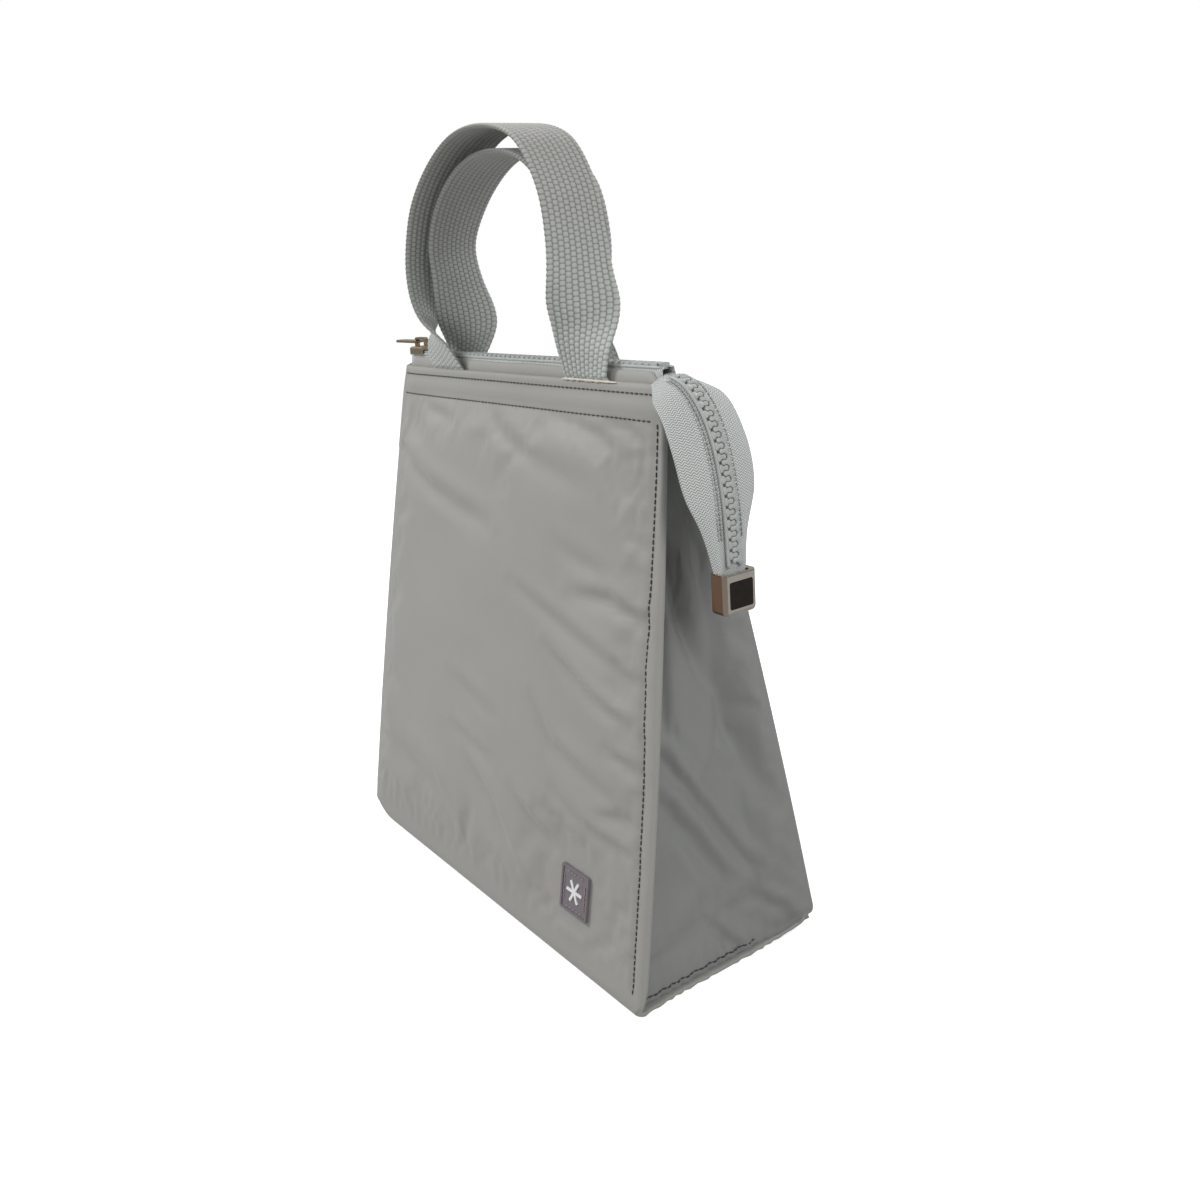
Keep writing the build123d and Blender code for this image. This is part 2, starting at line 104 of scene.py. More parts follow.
# Webbing paths, as in the CAD: x, y, z of the middle of the strap and the direction of its width from +X.
FRONT_LOOP = [
    (60, -8, 257, 0), (61, -8.5, 268, 12), (60.5, -6.5, 280, 36), (56.5, -4, 295, 76),
    (52, -1.5, 313, 88), (46.5, -1, 333, 90), (32, -1, 351.5, 90), (8, -1, 359, 90),
    (-18, -1, 358, 90), (-42, -1, 348, 90), (-62, -1, 332, 90), (-74, -1, 312, 94),
    (-77.5, -2, 295, 104), (-75, -5, 280, 130), (-65, -8.5, 268, 168), (-58, -8, 257, 180),
]
BACK_LOOP = [
    (50, 8, 257, 180), (48, 9.5, 268, 165), (46, 10.5, 280, 140), (44.5, 10, 295, 112),
    (43.5, 8, 313, 94), (38, 7, 332, 90), (24, 7, 344, 90), (4, 7, 349.5, 90),
    (-18, 7, 349, 90), (-38, 7, 342, 90), (-56, 7, 329, 94), (-67, 7, 313, 100),
    (-67.5, 8.5, 296, 94), (-67.5, 11, 281, 66), (-67, 11, 269, 28), (-66.5, 8, 257, 0),
]
TAIL_LINE = [(107.6, 257.6), (117, 254), (125.5, 245), (131.5, 232), (135, 216), (136.5, 200), (137.5, 178)]
TAIL_HALF_WIDTHS = [10.5, 16.5, 18.0, 18.6, 17.0, 11.0, 6.4]      # at the same stations
TAIL_DROOP = [2.4, 4.0, 4.2, 4.0, 3.4, 2.2, 0.8]                 # how far the edges curl back

# Creases of a panel: points (x, z) along it, half width of the fold, depth.
CREASES = [
    ([(-102, 212), (-66, 197), (-36, 190), (-8, 186)], 5.0, 1.9),
    ([(-17, 241), (-4, 230), (22, 220), (68, 212)], 5.0, 0.9),
    ([(-78, 236), (-48, 231)], 3.0, 0.8),
    ([(30, 240), (62, 236), (80, 231)], 3.0, 0.8),
    ([(72, 240), (92, 237), (103, 231)], 2.4, 0.9),
    ([(90, 226), (111, 229)], 1.8, 0.5),
    ([(50, 186), (92, 176)], 4.0, 0.7),
    ([(66, 168), (90, 169), (112, 163)], 3.6, 1.5),
    ([(18, 164), (66, 152), (110, 141)], 3.4, 1.1),
    ([(50, 142), (86, 127), (108, 122)], 3.2, 1.5),
    ([(-34, 109), (12, 98)], 4.0, 0.8),
    ([(-28, 84), (8, 76)], 3.5, 0.9),
    ([(-15, 70), (12, 55), (33, 33)], 4.5, 1.4),
    ([(40, 115), (57, 99), (100, 88)], 4.0, 1.3),
    ([(28, 68), (48, 57), (66, 51)], 4.0, 1.0),
    ([(60, 80), (84, 70), (111, 68)], 3.6, 1.2),
    ([(-100, 52), (-50, 42), (-24, 26)], 9.0, 1.8),
    ([(90, 79), (114, 83)], 2.5, 0.7),
    ([(92, 196), (113, 193)], 2.2, 0.4),
    ([(94, 108), (116, 104)], 2.6, 0.7),
]


# ---------------------------------------------------------------- meshes
def make_mesh(name, points, faces, material, uvs=None, smooth=True):
    """An object from points in millimetres; uvs hold one pair per point, in millimetres too."""
    mesh = bpy.data.meshes.new(name)
    mesh.from_pydata((np.asarray(points, float) * MM).tolist(), [], faces)
    if uvs is not None:
        layer = mesh.uv_layers.new(name="UVMap")
        corners = np.zeros(len(mesh.loops), np.int32)
        mesh.loops.foreach_get("vertex_index", corners)
        layer.data.foreach_set("uv", (np.asarray(uvs, float)[corners] * MM).astype(np.float32).ravel())
    mesh.polygons.foreach_set("use_smooth", [smooth] * len(mesh.polygons))
    mesh.materials.append(material)
    mesh.validate()
    mesh.update()
    obj = bpy.data.objects.new(name, mesh)
    bpy.context.scene.collection.objects.link(obj)
    return obj


def grid_faces(rows, columns, around=False):
    """Quads of a grid of points stored row by row; around joins the last column to the first."""
    faces = []
    for j in range(rows - 1):
        for i in range(columns if around else columns - 1):
            k = (i + 1) % columns
            faces.append((j * columns + i, j * columns + k, (j + 1) * columns + k, (j + 1) * columns + i))
    return faces


def flip(faces, yes):
    """The faces turned over, if yes."""
    return [tuple(face[::-1]) for face in faces] if yes else faces


def sheet(name, rows, uvs, material, thickness=CLOTH_T, offset=-1.0, turned=False):
    """A fabric sheet from rows of points, given a real thickness; turned sheets face the other way."""
    grid = np.array(rows)
    faces = flip(grid_faces(*grid.shape[:2]), turned)
    obj = make_mesh(name, grid.reshape(-1, 3), faces, material, np.array(uvs).reshape(-1, 2))
    solid = obj.modifiers.new("thickness", "SOLIDIFY")
    solid.thickness = thickness * MM
    solid.offset = offset
    solid.use_even_offset = False
    return obj


def round_edges(obj, width, angle):
    bevel = obj.modifiers.new("edges", "BEVEL")
    bevel.width = width * MM
    bevel.segments = 3
    bevel.limit_method = "ANGLE"
    bevel.angle_limit = radians(angle)


def apply_modifiers(obj):
    graph = bpy.context.evaluated_depsgraph_get()
    mesh = bpy.data.meshes.new_from_object(obj.evaluated_get(graph))
    obj.modifiers.clear()
    obj.data = mesh
    return obj


class Pile:
    """Collects many small closed shapes into one mesh."""

    def __init__(self):
        self.points = []
        self.faces = []
        self.uvs = []

    def add(self, points, faces):
        base = len(self.points)
        self.points.extend([tuple(p) for p in points])
        self.faces.extend([tuple(i + base for i in face) for face in faces])
        self.uvs.extend([(p[0], p[1]) for p in points])

    def object(self, name, material, smooth=True):
        return make_mesh(name, self.points, self.faces, material, self.uvs, smooth)


def rounded_outline(half_x, half_y, radius, steps=4):
    """Points of a rounded rectangle, counter-clockwise."""
    points = []
    for cx, cy, start in ((1, 1, 0), (-1, 1, 90), (-1, -1, 180), (1, -1, 270)):
        for i in range(steps + 1):
            a = radians(start + 90 * i / steps)
            x = cx * (half_x - radius) + radius * cos(a)
            points.append((x, cy * (half_y - radius) + radius * sin(a)))
    return points


def prism(outline, low, high, bevel=0.3):
    """A closed block over an outline, with its top and bottom edges rounded off."""
    centre = np.mean(outline, axis=0)
    outline = np.array(outline)
    radius = np.abs(outline - centre).max()
    levels = [
        (low, 1 - bevel / radius), (low + bevel * 0.3, 1 - 0.3 * bevel / radius), (low + bevel, 1.0),
        (high - bevel, 1.0), (high - bevel * 0.3, 1 - 0.3 * bevel / radius), (high, 1 - bevel / radius),
    ]
    n = len(outline)
    points = []
    for z, scale in levels:
        points.extend([(x, y, z) for x, y in (outline - centre) * scale + centre])
    faces = grid_faces(len(levels), n, around=True)
    faces.append(tuple(range(n))[::-1])
    faces.append(tuple(range(n * (len(levels) - 1), n * len(levels))))
    return np.array(points), faces


def placed(points, origin, axis_x, axis_y, axis_z):
    """Points turned to three axes and moved to an origin."""
    return points @ np.array([axis_x, axis_y, axis_z], float) + np.array(origin, float)


def thread(pile, path, radius, sides=6):
    """A round thread or cord along a path, its ends tapered."""
    path = np.array(path, float)
    n = len(path)
    for i, point in enumerate(path):
        along = path[min(i + 1, n - 1)] - path[max(i - 1, 0)]
        along /= np.linalg.norm(along)
        side = np.cross(along, (0.3, 0.2, 0.93))
        side /= np.linalg.norm(side)
        up = np.cross(side, along)
        scale = radius * (0.35 if i in (0, n - 1) else 1.0)
        for k in range(sides):
            a = 2 * pi * k / sides
            p = point + scale * (cos(a) * side + sin(a) * up)
            pile.points.append(tuple(p))
            pile.uvs.append((p[0], p[2]))
    base = len(pile.points) - n * sides
    pile.faces.extend([tuple(base + q for q in f) for f in grid_faces(n, sides, around=True)])
    pile.faces.append(tuple(base + k for k in range(sides))[::-1])
    pile.faces.append(tuple(base + (n - 1) * sides + k for k in range(sides)))


def run_along(points):
    """Distance along a line of points, from 0 at the first."""
    return np.r_[0, np.cumsum(np.linalg.norm(np.diff(points, axis=0), axis=1))]


def sample(at, run, values):
    """Values given along a run, read at other distances."""
    return np.stack([np.interp(at, run, column) for column in np.array(values, float).T], axis=-1)


def unit(vectors):
    return vectors / np.linalg.norm(vectors, axis=1)[:, None]


def stitch_row(pile, line, normals, pitch, length, radius, lift=0.2):
    """Stitches along a line of points, standing a little proud along the normals."""
    run = run_along(line)
    for k in range(int(run[-1] / pitch)):
        at = pitch * k + (pitch - length) / 2 + length * np.arange(5) / 4
        out = np.array([-lift, lift, lift, lift, -lift])[:, None]
        thread(pile, sample(at, run, line) + sample(at, run, normals) * out, radius)


def spline(stations, share):
    """A smooth point on a list of stations; share runs from 0 at the first to 1 at the last."""
    stations = np.array(stations, float)
    if stations.ndim == 1:
        stations = stations[:, None]
    place = np.clip(np.asarray(share, float), 0, 1) * (len(stations) - 1)
    i = np.minimum(place.astype(int), len(stations) - 2)
    t = (place - i)[..., None]
    p = stations[np.maximum(i - 1, 0)]
    q = stations[i]
    r = stations[i + 1]
    s = stations[np.minimum(i + 2, len(stations) - 1)]
    bend = (2 * p - 5 * q + 4 * r - s) * t ** 2 + (3 * q - p - 3 * r + s) * t ** 3
    return q + ((r - p) * t + bend) / 2


def heading(stations, share):
    """Direction from just behind to just ahead on a list of stations, not of unit length."""
    return spline(stations, np.minimum(share + 0.01, 1)) - spline(stations, np.maximum(share - 0.01, 0))


def smoothstep(x, low, high):
    t = np.clip((np.asarray(x, float) - low) / (high - low), 0, 1)
    return t * t * (3 - 2 * t)


def hill(x, at, width):
    """A smooth hill of height 1 at a place, falling away on both sides."""
    return np.exp(-((x - at) / width) ** 2)


def joined(*columns):
    """Points from one array or number for each coordinate."""
    return np.stack(np.broadcast_arrays(*columns), axis=-1)


def wobble(x, y, seed, scale):
    """Smooth repeatable noise between about -1 and 1 at arrays of places; scale is in millimetres."""
    x, y = np.broadcast_arrays(x, y)
    values = [noise.noise(Vector((a, b, seed)) / scale) for a, b in zip(x.ravel(), y.ravel())]
    return np.array(values).reshape(x.shape)


# ---------------------------------------------------------------- node materials
class Shader:
    """A node material with a Principled surface, and short calls to wire it."""

    def __init__(self, name):
        self.material = bpy.data.materials.new(name)
        self.material.use_nodes = True
        self.tree = self.material.node_tree
        self.surface = next(n for n in self.tree.nodes if n.type == "BSDF_PRINCIPLED")

    def node(self, kind, **values):
        node = self.tree.nodes.new(kind)
        for key, value in values.items():
            setattr(node, key, value)
        return node

    def wire(self, socket, value):
        if isinstance(value, bpy.types.NodeSocket):
            self.tree.links.new(value, socket)
        elif isinstance(value, (tuple, list)) and len(value) == 3 and socket.type == "RGBA":
            socket.default_value = (*value, 1.0)
        else:
            socket.default_value = value

    def set(self, **values):
        for key, value in values.items():
            self.wire(self.surface.inputs[key.replace("_", " ")], value)
        return self

    def math(self, operation, a, b=0.0, clamp=False):
        node = self.node("ShaderNodeMath", operation=operation, use_clamp=clamp)
        self.wire(node.inputs[0], a)
        self.wire(node.inputs[1], b)
        return node.outputs[0]

    def times(self, a, b, clamp=False):
        return self.math("MULTIPLY", a, b, clamp)

    def plus(self, a, b, clamp=False):
        return self.math("ADD", a, b, clamp)

    def scaled(self, a, by, add):
        return self.plus(self.times(a, by), add)

    def sum(self, a, by_a, b, by_b, clamp=False):
        return self.plus(self.times(a, by_a), self.times(b, by_b), clamp)

    def mix(self, share, a, b):
        node = self.node("ShaderNodeMix", data_type="RGBA")
        self.wire(node.inputs[0], share)
        self.wire(node.inputs[6], a)
        self.wire(node.inputs[7], b)
        return node.outputs[2]

    def place(self, kind="Object"):
        """Position on the object in millimetres, or its UV in millimetres."""
        source = self.node("ShaderNodeTexCoord").outputs[kind]
        node = self.node("ShaderNodeVectorMath", operation="SCALE")
        self.wire(node.inputs[0], source)
        node.inputs["Scale"].default_value = 1 / MM
        return node.outputs[0]

    def split(self, vector):
        node = self.node("ShaderNodeSeparateXYZ")
        self.wire(node.inputs[0], vector)
        return node.outputs

    def noise(self, vector, size, detail=2.0, rough=0.5):
        """Noise with features of about the given size in millimetres."""
        node = self.node("ShaderNodeTexNoise")
        self.wire(node.inputs["Vector"], vector)
        node.inputs["Scale"].default_value = 1 / size
        node.inputs["Detail"].default_value = detail
        node.inputs["Roughness"].default_value = rough
        return node.outputs["Fac"]

    def stretch(self, vector, x, y, z):
        node = self.node("ShaderNodeVectorMath", operation="MULTIPLY")
        self.wire(node.inputs[0], vector)
        node.inputs[1].default_value = (x, y, z)
        return node.outputs[0]

    def ripple(self, coordinate, pitch, phase=0.0):
        """A rounded ridge pattern from 0 to 1 with the given pitch."""
        turned = self.times(self.plus(coordinate, phase), pi / pitch)
        return self.math("ABSOLUTE", self.math("COSINE", turned))

    def bump(self, height, depth, strength=1.0):
        """Surface relief, its full depth in millimetres."""
        node = self.node("ShaderNodeBump")
        node.inputs["Strength"].default_value = strength
        node.inputs["Distance"].default_value = depth * MM
        self.wire(node.inputs["Height"], height)
        self.set(Normal=node.outputs[0])
        return self


def nylon(name, light, dark):
    """Fine plain-weave nylon with a faint sheen, tone changing slowly over the cloth."""
    s = Shader(name)
    uv = s.place("UV")
    x, y = s.split(uv)[:2]
    weave = 0.42
    threads = s.times(s.ripple(x, weave), s.ripple(y, weave, weave / 2))
    slubs = s.noise(s.stretch(uv, 0.15, 1.0, 1.0), 0.9, 3.0)
    cloud = s.noise(s.place(), 38.0, 3.0)
    tone = s.sum(cloud, 0.7, slubs, 0.3)
    colour = s.mix(tone, dark, light)
    s.set(Base_Color=colour, Roughness=s.scaled(cloud, 0.12, 0.5))
    s.set(Sheen_Weight=0.25, Sheen_Roughness=0.45, Specular_IOR_Level=0.35)
    relief = s.sum(threads, 0.6, slubs, 0.4)
    return s.bump(relief, 0.06, 0.5).material


def webbing():
    """Basket-weave webbing: thick tufts with painted shade in the gaps between them, and painted shade that
    makes the strap darker and browner towards the top of the loop, under its arch.
    """
    s = Shader("webbing")
    uv = s.place("UV")
    x, y = s.split(uv)[:2]
    column = s.math("FLOOR", s.math("DIVIDE", s.plus(x, TUFT_W / 2), TUFT_W))
    shift = s.times(s.math("PINGPONG", column, 1.0), TUFT_L / 2)
    across = s.ripple(x, TUFT_W)
    along = s.ripple(s.plus(y, shift), TUFT_L)
    tuft = s.times(s.math("POWER", across, 0.6), s.math("POWER", along, 0.6))
    fibre = s.noise(s.stretch(uv, 1.0, 0.35, 1.0), 0.35, 3.0)
    patches = s.noise(s.place(), 9.0, 3.0)
    height = s.split(s.place())[2]
    # painted shade: the colour turns darker and browner higher up the loop, where the arch shades the strap
    arch_shade = s.times(s.math("SUBTRACT", height, 270), 1 / 80, clamp=True)
    light = s.mix(arch_shade, (0.50, 0.53, 0.505), (0.42, 0.41, 0.385))
    body = s.mix(s.times(patches, 0.4), light, (0.30, 0.31, 0.30))
    # painted shade: the colour falls to near black in the gaps between tufts, where the weave is in shadow,
    # broken up a little by fibre noise
    shade = s.sum(tuft, 1.2, fibre, 0.35, clamp=True)
    s.set(Base_Color=s.mix(shade, (0.10, 0.104, 0.10), body), Roughness=0.78)
    s.set(Sheen_Weight=0.3, Sheen_Roughness=0.6, Specular_IOR_Level=0.25)
    relief = s.sum(tuft, 0.7, fibre, 0.3)
    return s.bump(relief, 0.45, 0.7).material


def herringbone(name, light, dark):
    """Zip tape: narrow columns of slanting threads that turn at each column."""
    s = Shader(name)
    uv = s.place("UV")
    x, y = s.split(uv)[:2]
    zigzag = s.math("PINGPONG", s.plus(x, 40.0), 1.2)
    slant = s.plus(y, s.times(zigzag, 0.9))
    threads = s.ripple(slant, 1.1)
    fibre = s.noise(uv, 0.5, 3.0)
    # painted glint on the thread tops and painted shade between the threads, broken up by fibre noise
    glint = s.times(s.math("POWER", threads, 1.5), s.plus(fibre, 0.35), clamp=True)
    s.set(Base_Color=s.mix(glint, dark, light), Roughness=0.6, Sheen_Weight=0.2, Specular_IOR_Level=0.4)
    relief = s.sum(threads, 0.7, fibre, 0.3)
    return s.bump(relief, 0.25, 0.8).material


def moulded(name, light, dark, roughness=0.4):
    """Moulded plastic or rubber with faint mottling."""
    s = Shader(name)
    mottle = s.noise(s.place(), 3.0, 4.0)
    s.set(Base_Color=s.mix(mottle, dark, light))
    s.set(Roughness=s.scaled(mottle, 0.15, roughness))
    return s.bump(s.noise(s.place(), 0.6, 2.0), 0.05, 0.4).material


def metal(name, light, dark, roughness=0.22):
    """Plated metal with slight wear and fine scratches."""
    s = Shader(name)
    position = s.place()
    wear = s.noise(position, 2.5, 4.0, 0.6)
    scratches = s.noise(s.stretch(position, 0.3, 3.0, 0.3), 0.4, 2.0)
    s.set(Base_Color=s.mix(wear, dark, light), Metallic=1.0)
    s.set(Roughness=s.scaled(scratches, 0.16, roughness - 0.06))
    return s.bump(scratches, 0.02, 0.3).material


def painted_reflection_metal(name, light, brown):
    """Polished gunmetal with a painted reflection: its narrow sides are painted brown, as if they mirrored a
    brown room.
    """
    s = Shader(name)
    normal = s.split(s.node("ShaderNodeNewGeometry").outputs["Normal"])
    # painted reflection: faces turned along Y take the brown colour of a mirrored room
    painted_reflection_share = s.math("POWER", s.math("ABSOLUTE", normal[1]), 1.5, clamp=True)
    wear = s.noise(s.place(), 2.5, 3.0)
    worn = s.mix(s.times(wear, 0.3), light, brown)
    s.set(Base_Color=s.mix(painted_reflection_share, worn, brown), Metallic=1.0)
    s.set(Roughness=s.scaled(wear, 0.1, 0.1))
    return s.bump(wear, 0.02, 0.2).material


def yarn(name, light, dark):
    """Twisted sewing thread."""
    s = Shader(name)
    position = s.place()
    twist = s.noise(position, 0.45, 2.0)
    s.set(Base_Color=s.mix(twist, dark, light), Roughness=0.55, Sheen_Weight=0.2)
    return s.bump(twist, 0.08, 0.6).material


def cream_cloth():
    """Raw cream edge of a cloth facing, with loose fibres."""
    s = Shader("cream_trim")
    position = s.place()
    fibre = s.noise(s.stretch(position, 1.0, 1.0, 3.0), 0.7, 4.0)
    s.set(Base_Color=s.mix(fibre, (0.55, 0.51, 0.43), (0.82, 0.79, 0.70)), Roughness=0.85)
    return s.bump(fibre, 0.3, 0.8).material


def foam():
    """Closed-cell foam: pale, with small cells."""
    s = Shader("foam")
    cells = s.node("ShaderNodeTexVoronoi")
    s.wire(cells.inputs["Vector"], s.place())
    cells.inputs["Scale"].default_value = 1 / 1.2
    s.set(Base_Color=s.mix(cells.outputs["Distance"], (0.72, 0.72, 0.70), (0.88, 0.88, 0.86)), Roughness=0.9)
    return s.bump(cells.outputs["Distance"], 0.2, 0.6).material


def foil():
    """Aluminised lining, crinkled."""
    s = Shader("lining_foil")
    crinkle = s.noise(s.place(), 7.0, 5.0, 0.6)
    s.set(Base_Color=s.mix(crinkle, (0.62, 0.63, 0.64), (0.86, 0.87, 0.88)), Metallic=0.9, Roughness=0.3)
    return s.bump(crinkle, 1.2, 0.8).material


MATERIALS = {
    "shell_nylon": nylon("shell_nylon", (0.335, 0.330, 0.308), (0.285, 0.281, 0.263)),
    "gusset_nylon": nylon("gusset_nylon", (0.258, 0.263, 0.254), (0.205, 0.211, 0.205)),
    "webbing": webbing(),
    "zip_tape": herringbone("zip_tape", (0.74, 0.77, 0.75), (0.22, 0.235, 0.23)),
    "zip_teeth": moulded("zip_teeth", (0.47, 0.49, 0.47), (0.35, 0.37, 0.36), 0.3),
    "slider_metal": metal("slider_metal", (0.62, 0.50, 0.33), (0.42, 0.34, 0.24), 0.24),
    # the cap's brown narrow sides are a painted reflection
    "cap_metal": painted_reflection_metal("cap_metal", (0.66, 0.62, 0.56), (0.21, 0.13, 0.085)),
    "cap_plate": metal("cap_plate", (0.055, 0.045, 0.040), (0.030, 0.026, 0.024), 0.12),
    "badge_rubber": moulded("badge_rubber", (0.205, 0.175, 0.190), (0.155, 0.135, 0.150), 0.5),
    "badge_mark": moulded("badge_mark", (0.85, 0.85, 0.85), (0.72, 0.72, 0.73), 0.45),
    "badge_thread": yarn("badge_thread", (0.32, 0.29, 0.31), (0.20, 0.18, 0.195)),
    "dark_thread": yarn("dark_thread", (0.050, 0.052, 0.050), (0.020, 0.021, 0.021)),
    "tape_thread": yarn("tape_thread", (0.44, 0.46, 0.45), (0.28, 0.30, 0.29)),
    "cream_trim": cream_cloth(),
    "foam": foam(),
    "lining_foil": foil(),
}


# ---------------------------------------------------------------- body: wrap and gussets
def half_depth(z):
    return HALF_D - SLOPE * z


def half_width(z):
    """Outer edge of a panel at height z on its right side; the edge bows out a little low down."""
    straight = HALF_W + (TOP_HALF_W - HALF_W) * z / HEIGHT
    bow = 3.2 * np.sin(pi * np.clip(z / HEIGHT, 0, 1)) ** 0.8
    return straight + bow - smoothstep(z, 240, 255)


def gusset_x(z):
    return GUSSET_BASE + (GUSSET_TOP - GUSSET_BASE) * z / HEIGHT


def wrap_path():
    """The wrap's side view from the front top edge under the base to the back top edge: y, z and normal."""
    fold_y = HALF_D - FOLD_R * (LEAN + SLOPE)
    down = np.linspace(HEIGHT, FOLD_R + 1.5, 118)
    path = [(-half_depth(z), z, -1 / LEAN, -SLOPE / LEAN) for z in down]
    tilt = np.arctan(SLOPE)
    for a in np.linspace(pi + tilt, 1.5 * pi, 11):
        path.append((-fold_y + FOLD_R * cos(a), FOLD_R + FOLD_R * sin(a), cos(a), sin(a)))
    path.extend([(y, 0.0, 0.0, -1.0) for y in np.linspace(-fold_y, 0, 19)[1:]])
    mirrored = [(-y, z, -ny, nz) for y, z, ny, nz in path[:-1]][::-1]
    return np.array(path + mirrored)


def crease_depth(x, z, creases):
    """How far the panel is pushed in at each point by the creases, with a soft ridge above each."""
    total = np.zeros_like(x)
    for line, width, depth in creases:
        line = np.array(line, float)
        lengths = np.linalg.norm(np.diff(line, axis=0), axis=1)
        whole = lengths.sum()
        best = np.full(x.shape, 1e9)
        signed = np.zeros_like(x)
        share = np.zeros_like(x)
        done = 0.0
        for a, b, run in zip(line[:-1], line[1:], lengths):
            along = (b - a) / run
            t = np.clip((x - a[0]) * along[0] + (z - a[1]) * along[1], 0, run)
            dx = x - a[0] - along[0] * t
            dz = z - a[1] - along[1] * t
            gap = np.hypot(dx, dz)
            near = gap < best
            best = np.where(near, gap, best)
            signed = np.where(near, np.sign(along[0] * dz - along[1] * dx) * gap, signed)
            share = np.where(near, (done + t) / whole, share)
            done += run
        fade = np.sin(pi * np.clip(share * 0.92 + 0.04, 0, 1)) ** 0.7
        valley = hill(signed, 0, width)
        ridge = hill(signed, 1.9 * width, 1.2 * width)
        total += 1.55 * depth * fade * (valley - 0.6 * ridge)
    return total


def mirrored_creases():
    """The back panel's creases: a different spread of the same kind of folds."""
    return [([(-x * 0.97 + 6, 238 - z * 0.9) for x, z in line], w * 1.1, d) for line, w, d in CREASES[6:]]


def from_badge(x, z):
    return np.hypot(x - BADGE_AT[0], z - BADGE_AT[1])


def panel_relief(x, z, side):
    """Outward relief of a panel: soft crown, creases, seams drawn in. side is -1 in front, 1 behind."""
    w = half_width(z)
    crown = 2.6 * (1 - np.clip(np.abs(x) / w, 0, 1) ** 4) * np.sin(pi * np.clip(z / 250, 0, 1)) ** 0.7
    creases = CREASES if side < 0 else mirrored_creases()
    slow = wobble(x, z, 7 * side, 62.0)
    fine = wobble(x * 0.6, z, 3 * side, 17.0)
    relief = crown - crease_depth(x, z, creases) + (1.6 * slow + 0.3 * fine)
    hem = smoothstep(z, HEIGHT - 17, HEIGHT - 11)
    relief *= 1 - hem
    relief += hem * 0.25 * fine
    if side < 0:
        relief *= smoothstep(from_badge(x, z), 13, 34)
    pucker = 0.3 * np.sin(2 * pi * z / 4.6 + 2.0 * slow) * np.exp(-np.abs(w - 9 - np.abs(x)) / 5.0)
    return relief + pucker * (1 - hem)


def edge_profile():
    """Across the wrap: share of the flat part (-1 to 1), then how far round the rolled edge (0 to 1)."""
    flat = np.linspace(-1, 1, ACROSS)
    flat = np.sign(flat) * (1 - (1 - np.abs(flat)) ** 1.08)
    roll = np.linspace(0, 1, EDGE_STEPS + 1)[1:]
    return [(-1.0, r) for r in roll[::-1]] + [(f, 0.0) for f in flat] + [(1.0, r) for r in roll]


def stitch_x(z):
    """Where the flange is stitched through, as a distance from the middle."""
    inset = 6.4 - 3.4 * smoothstep(z, 150, 250)
    return half_width(z) - np.maximum(inset, 1.5)


def seam_puckers(y):
    """Uneven gathers along the seam at the foot of a gusset, from -1 to 1."""
    return np.sin(0.95 * y + 1.4 * np.sin(0.23 * y))


def gusset_foot(y, z):
    """How far the foot of a gusset stands out, gathered by its seam."""
    return hill(z, 5, 8) * (0.8 + 0.5 * seam_puckers(y) * (1 - (y / 52) ** 6))


def wrap_section(path_row, profile):
    """Points across the wrap at one place on its path."""
    y, z = path_row[:2]
    on_base = smoothstep(-z, -16, -1)
    to_corner = float(smoothstep(y, 24, 51) + 0.35 * smoothstep(-y, 24, 51))
    low_width = GUSSET_BASE + LIP + (HALF_W - GUSSET_BASE - 3.4) * to_corner
    low_width += 0.45 * on_base * float(seam_puckers(y))
    wide = float(half_width(z))
    corner = CORNER_R - np.sqrt(max(CORNER_R ** 2 - max(CORNER_R - z, 0) ** 2, 0))
    wide = max(wide - corner, low_width) if z < CORNER_R else wide
    radius = (EDGE_T + (BASE_EDGE_T - EDGE_T) * on_base) / 2
    arc = pi * radius
    inner = max(wide - float(gusset_x(z)) - radius, 0.4)
    points = []
    for share, roll in profile:
        past = roll * (arc + inner)
        turn = min(past, arc) / radius
        x = share * (wide - radius) + np.sign(share) * (radius * sin(turn) - max(past - arc, 0))
        points.append((x, radius * (1 - cos(turn))))
    return np.array(points), wide


def wrap_row(path_row, profile):
    """One row of points across the wrap, its relief and how flat it is at each point."""
    y, z, ny, nz = path_row
    section, wide = wrap_section(path_row, profile)
    side = -1.0 if ny < 0 or (ny == 0 and y < 0) else 1.0
    x, depth = section.T
    flat = 1 - np.clip(depth / EDGE_T * 2, 0, 1)
    relief = panel_relief(x, np.full_like(x, z), side) * smoothstep(z, 2, 26) * flat
    drawn = 1.5 * hill(np.abs(x), float(stitch_x(z)), 1.5) * flat
    if side < 0:
        drawn *= x > 0
        rolled = np.clip((x + wide - 16) / -16, 0, 1)
        relief -= 2.6 * rolled ** 2 * smoothstep(z, 4, 30)
    relief -= drawn * smoothstep(z, 8, 16) * (1 - smoothstep(z, 236, 244))
    for hem in HEM_ROWS:
        relief -= 0.6 * hill(z, hem, 1.1) * flat
    relief += 0.45 * hill(z, sum(HEM_ROWS) / 2, 3.4) * flat
    return np.c_[x, y - ny * depth, z - nz * depth], relief, flat


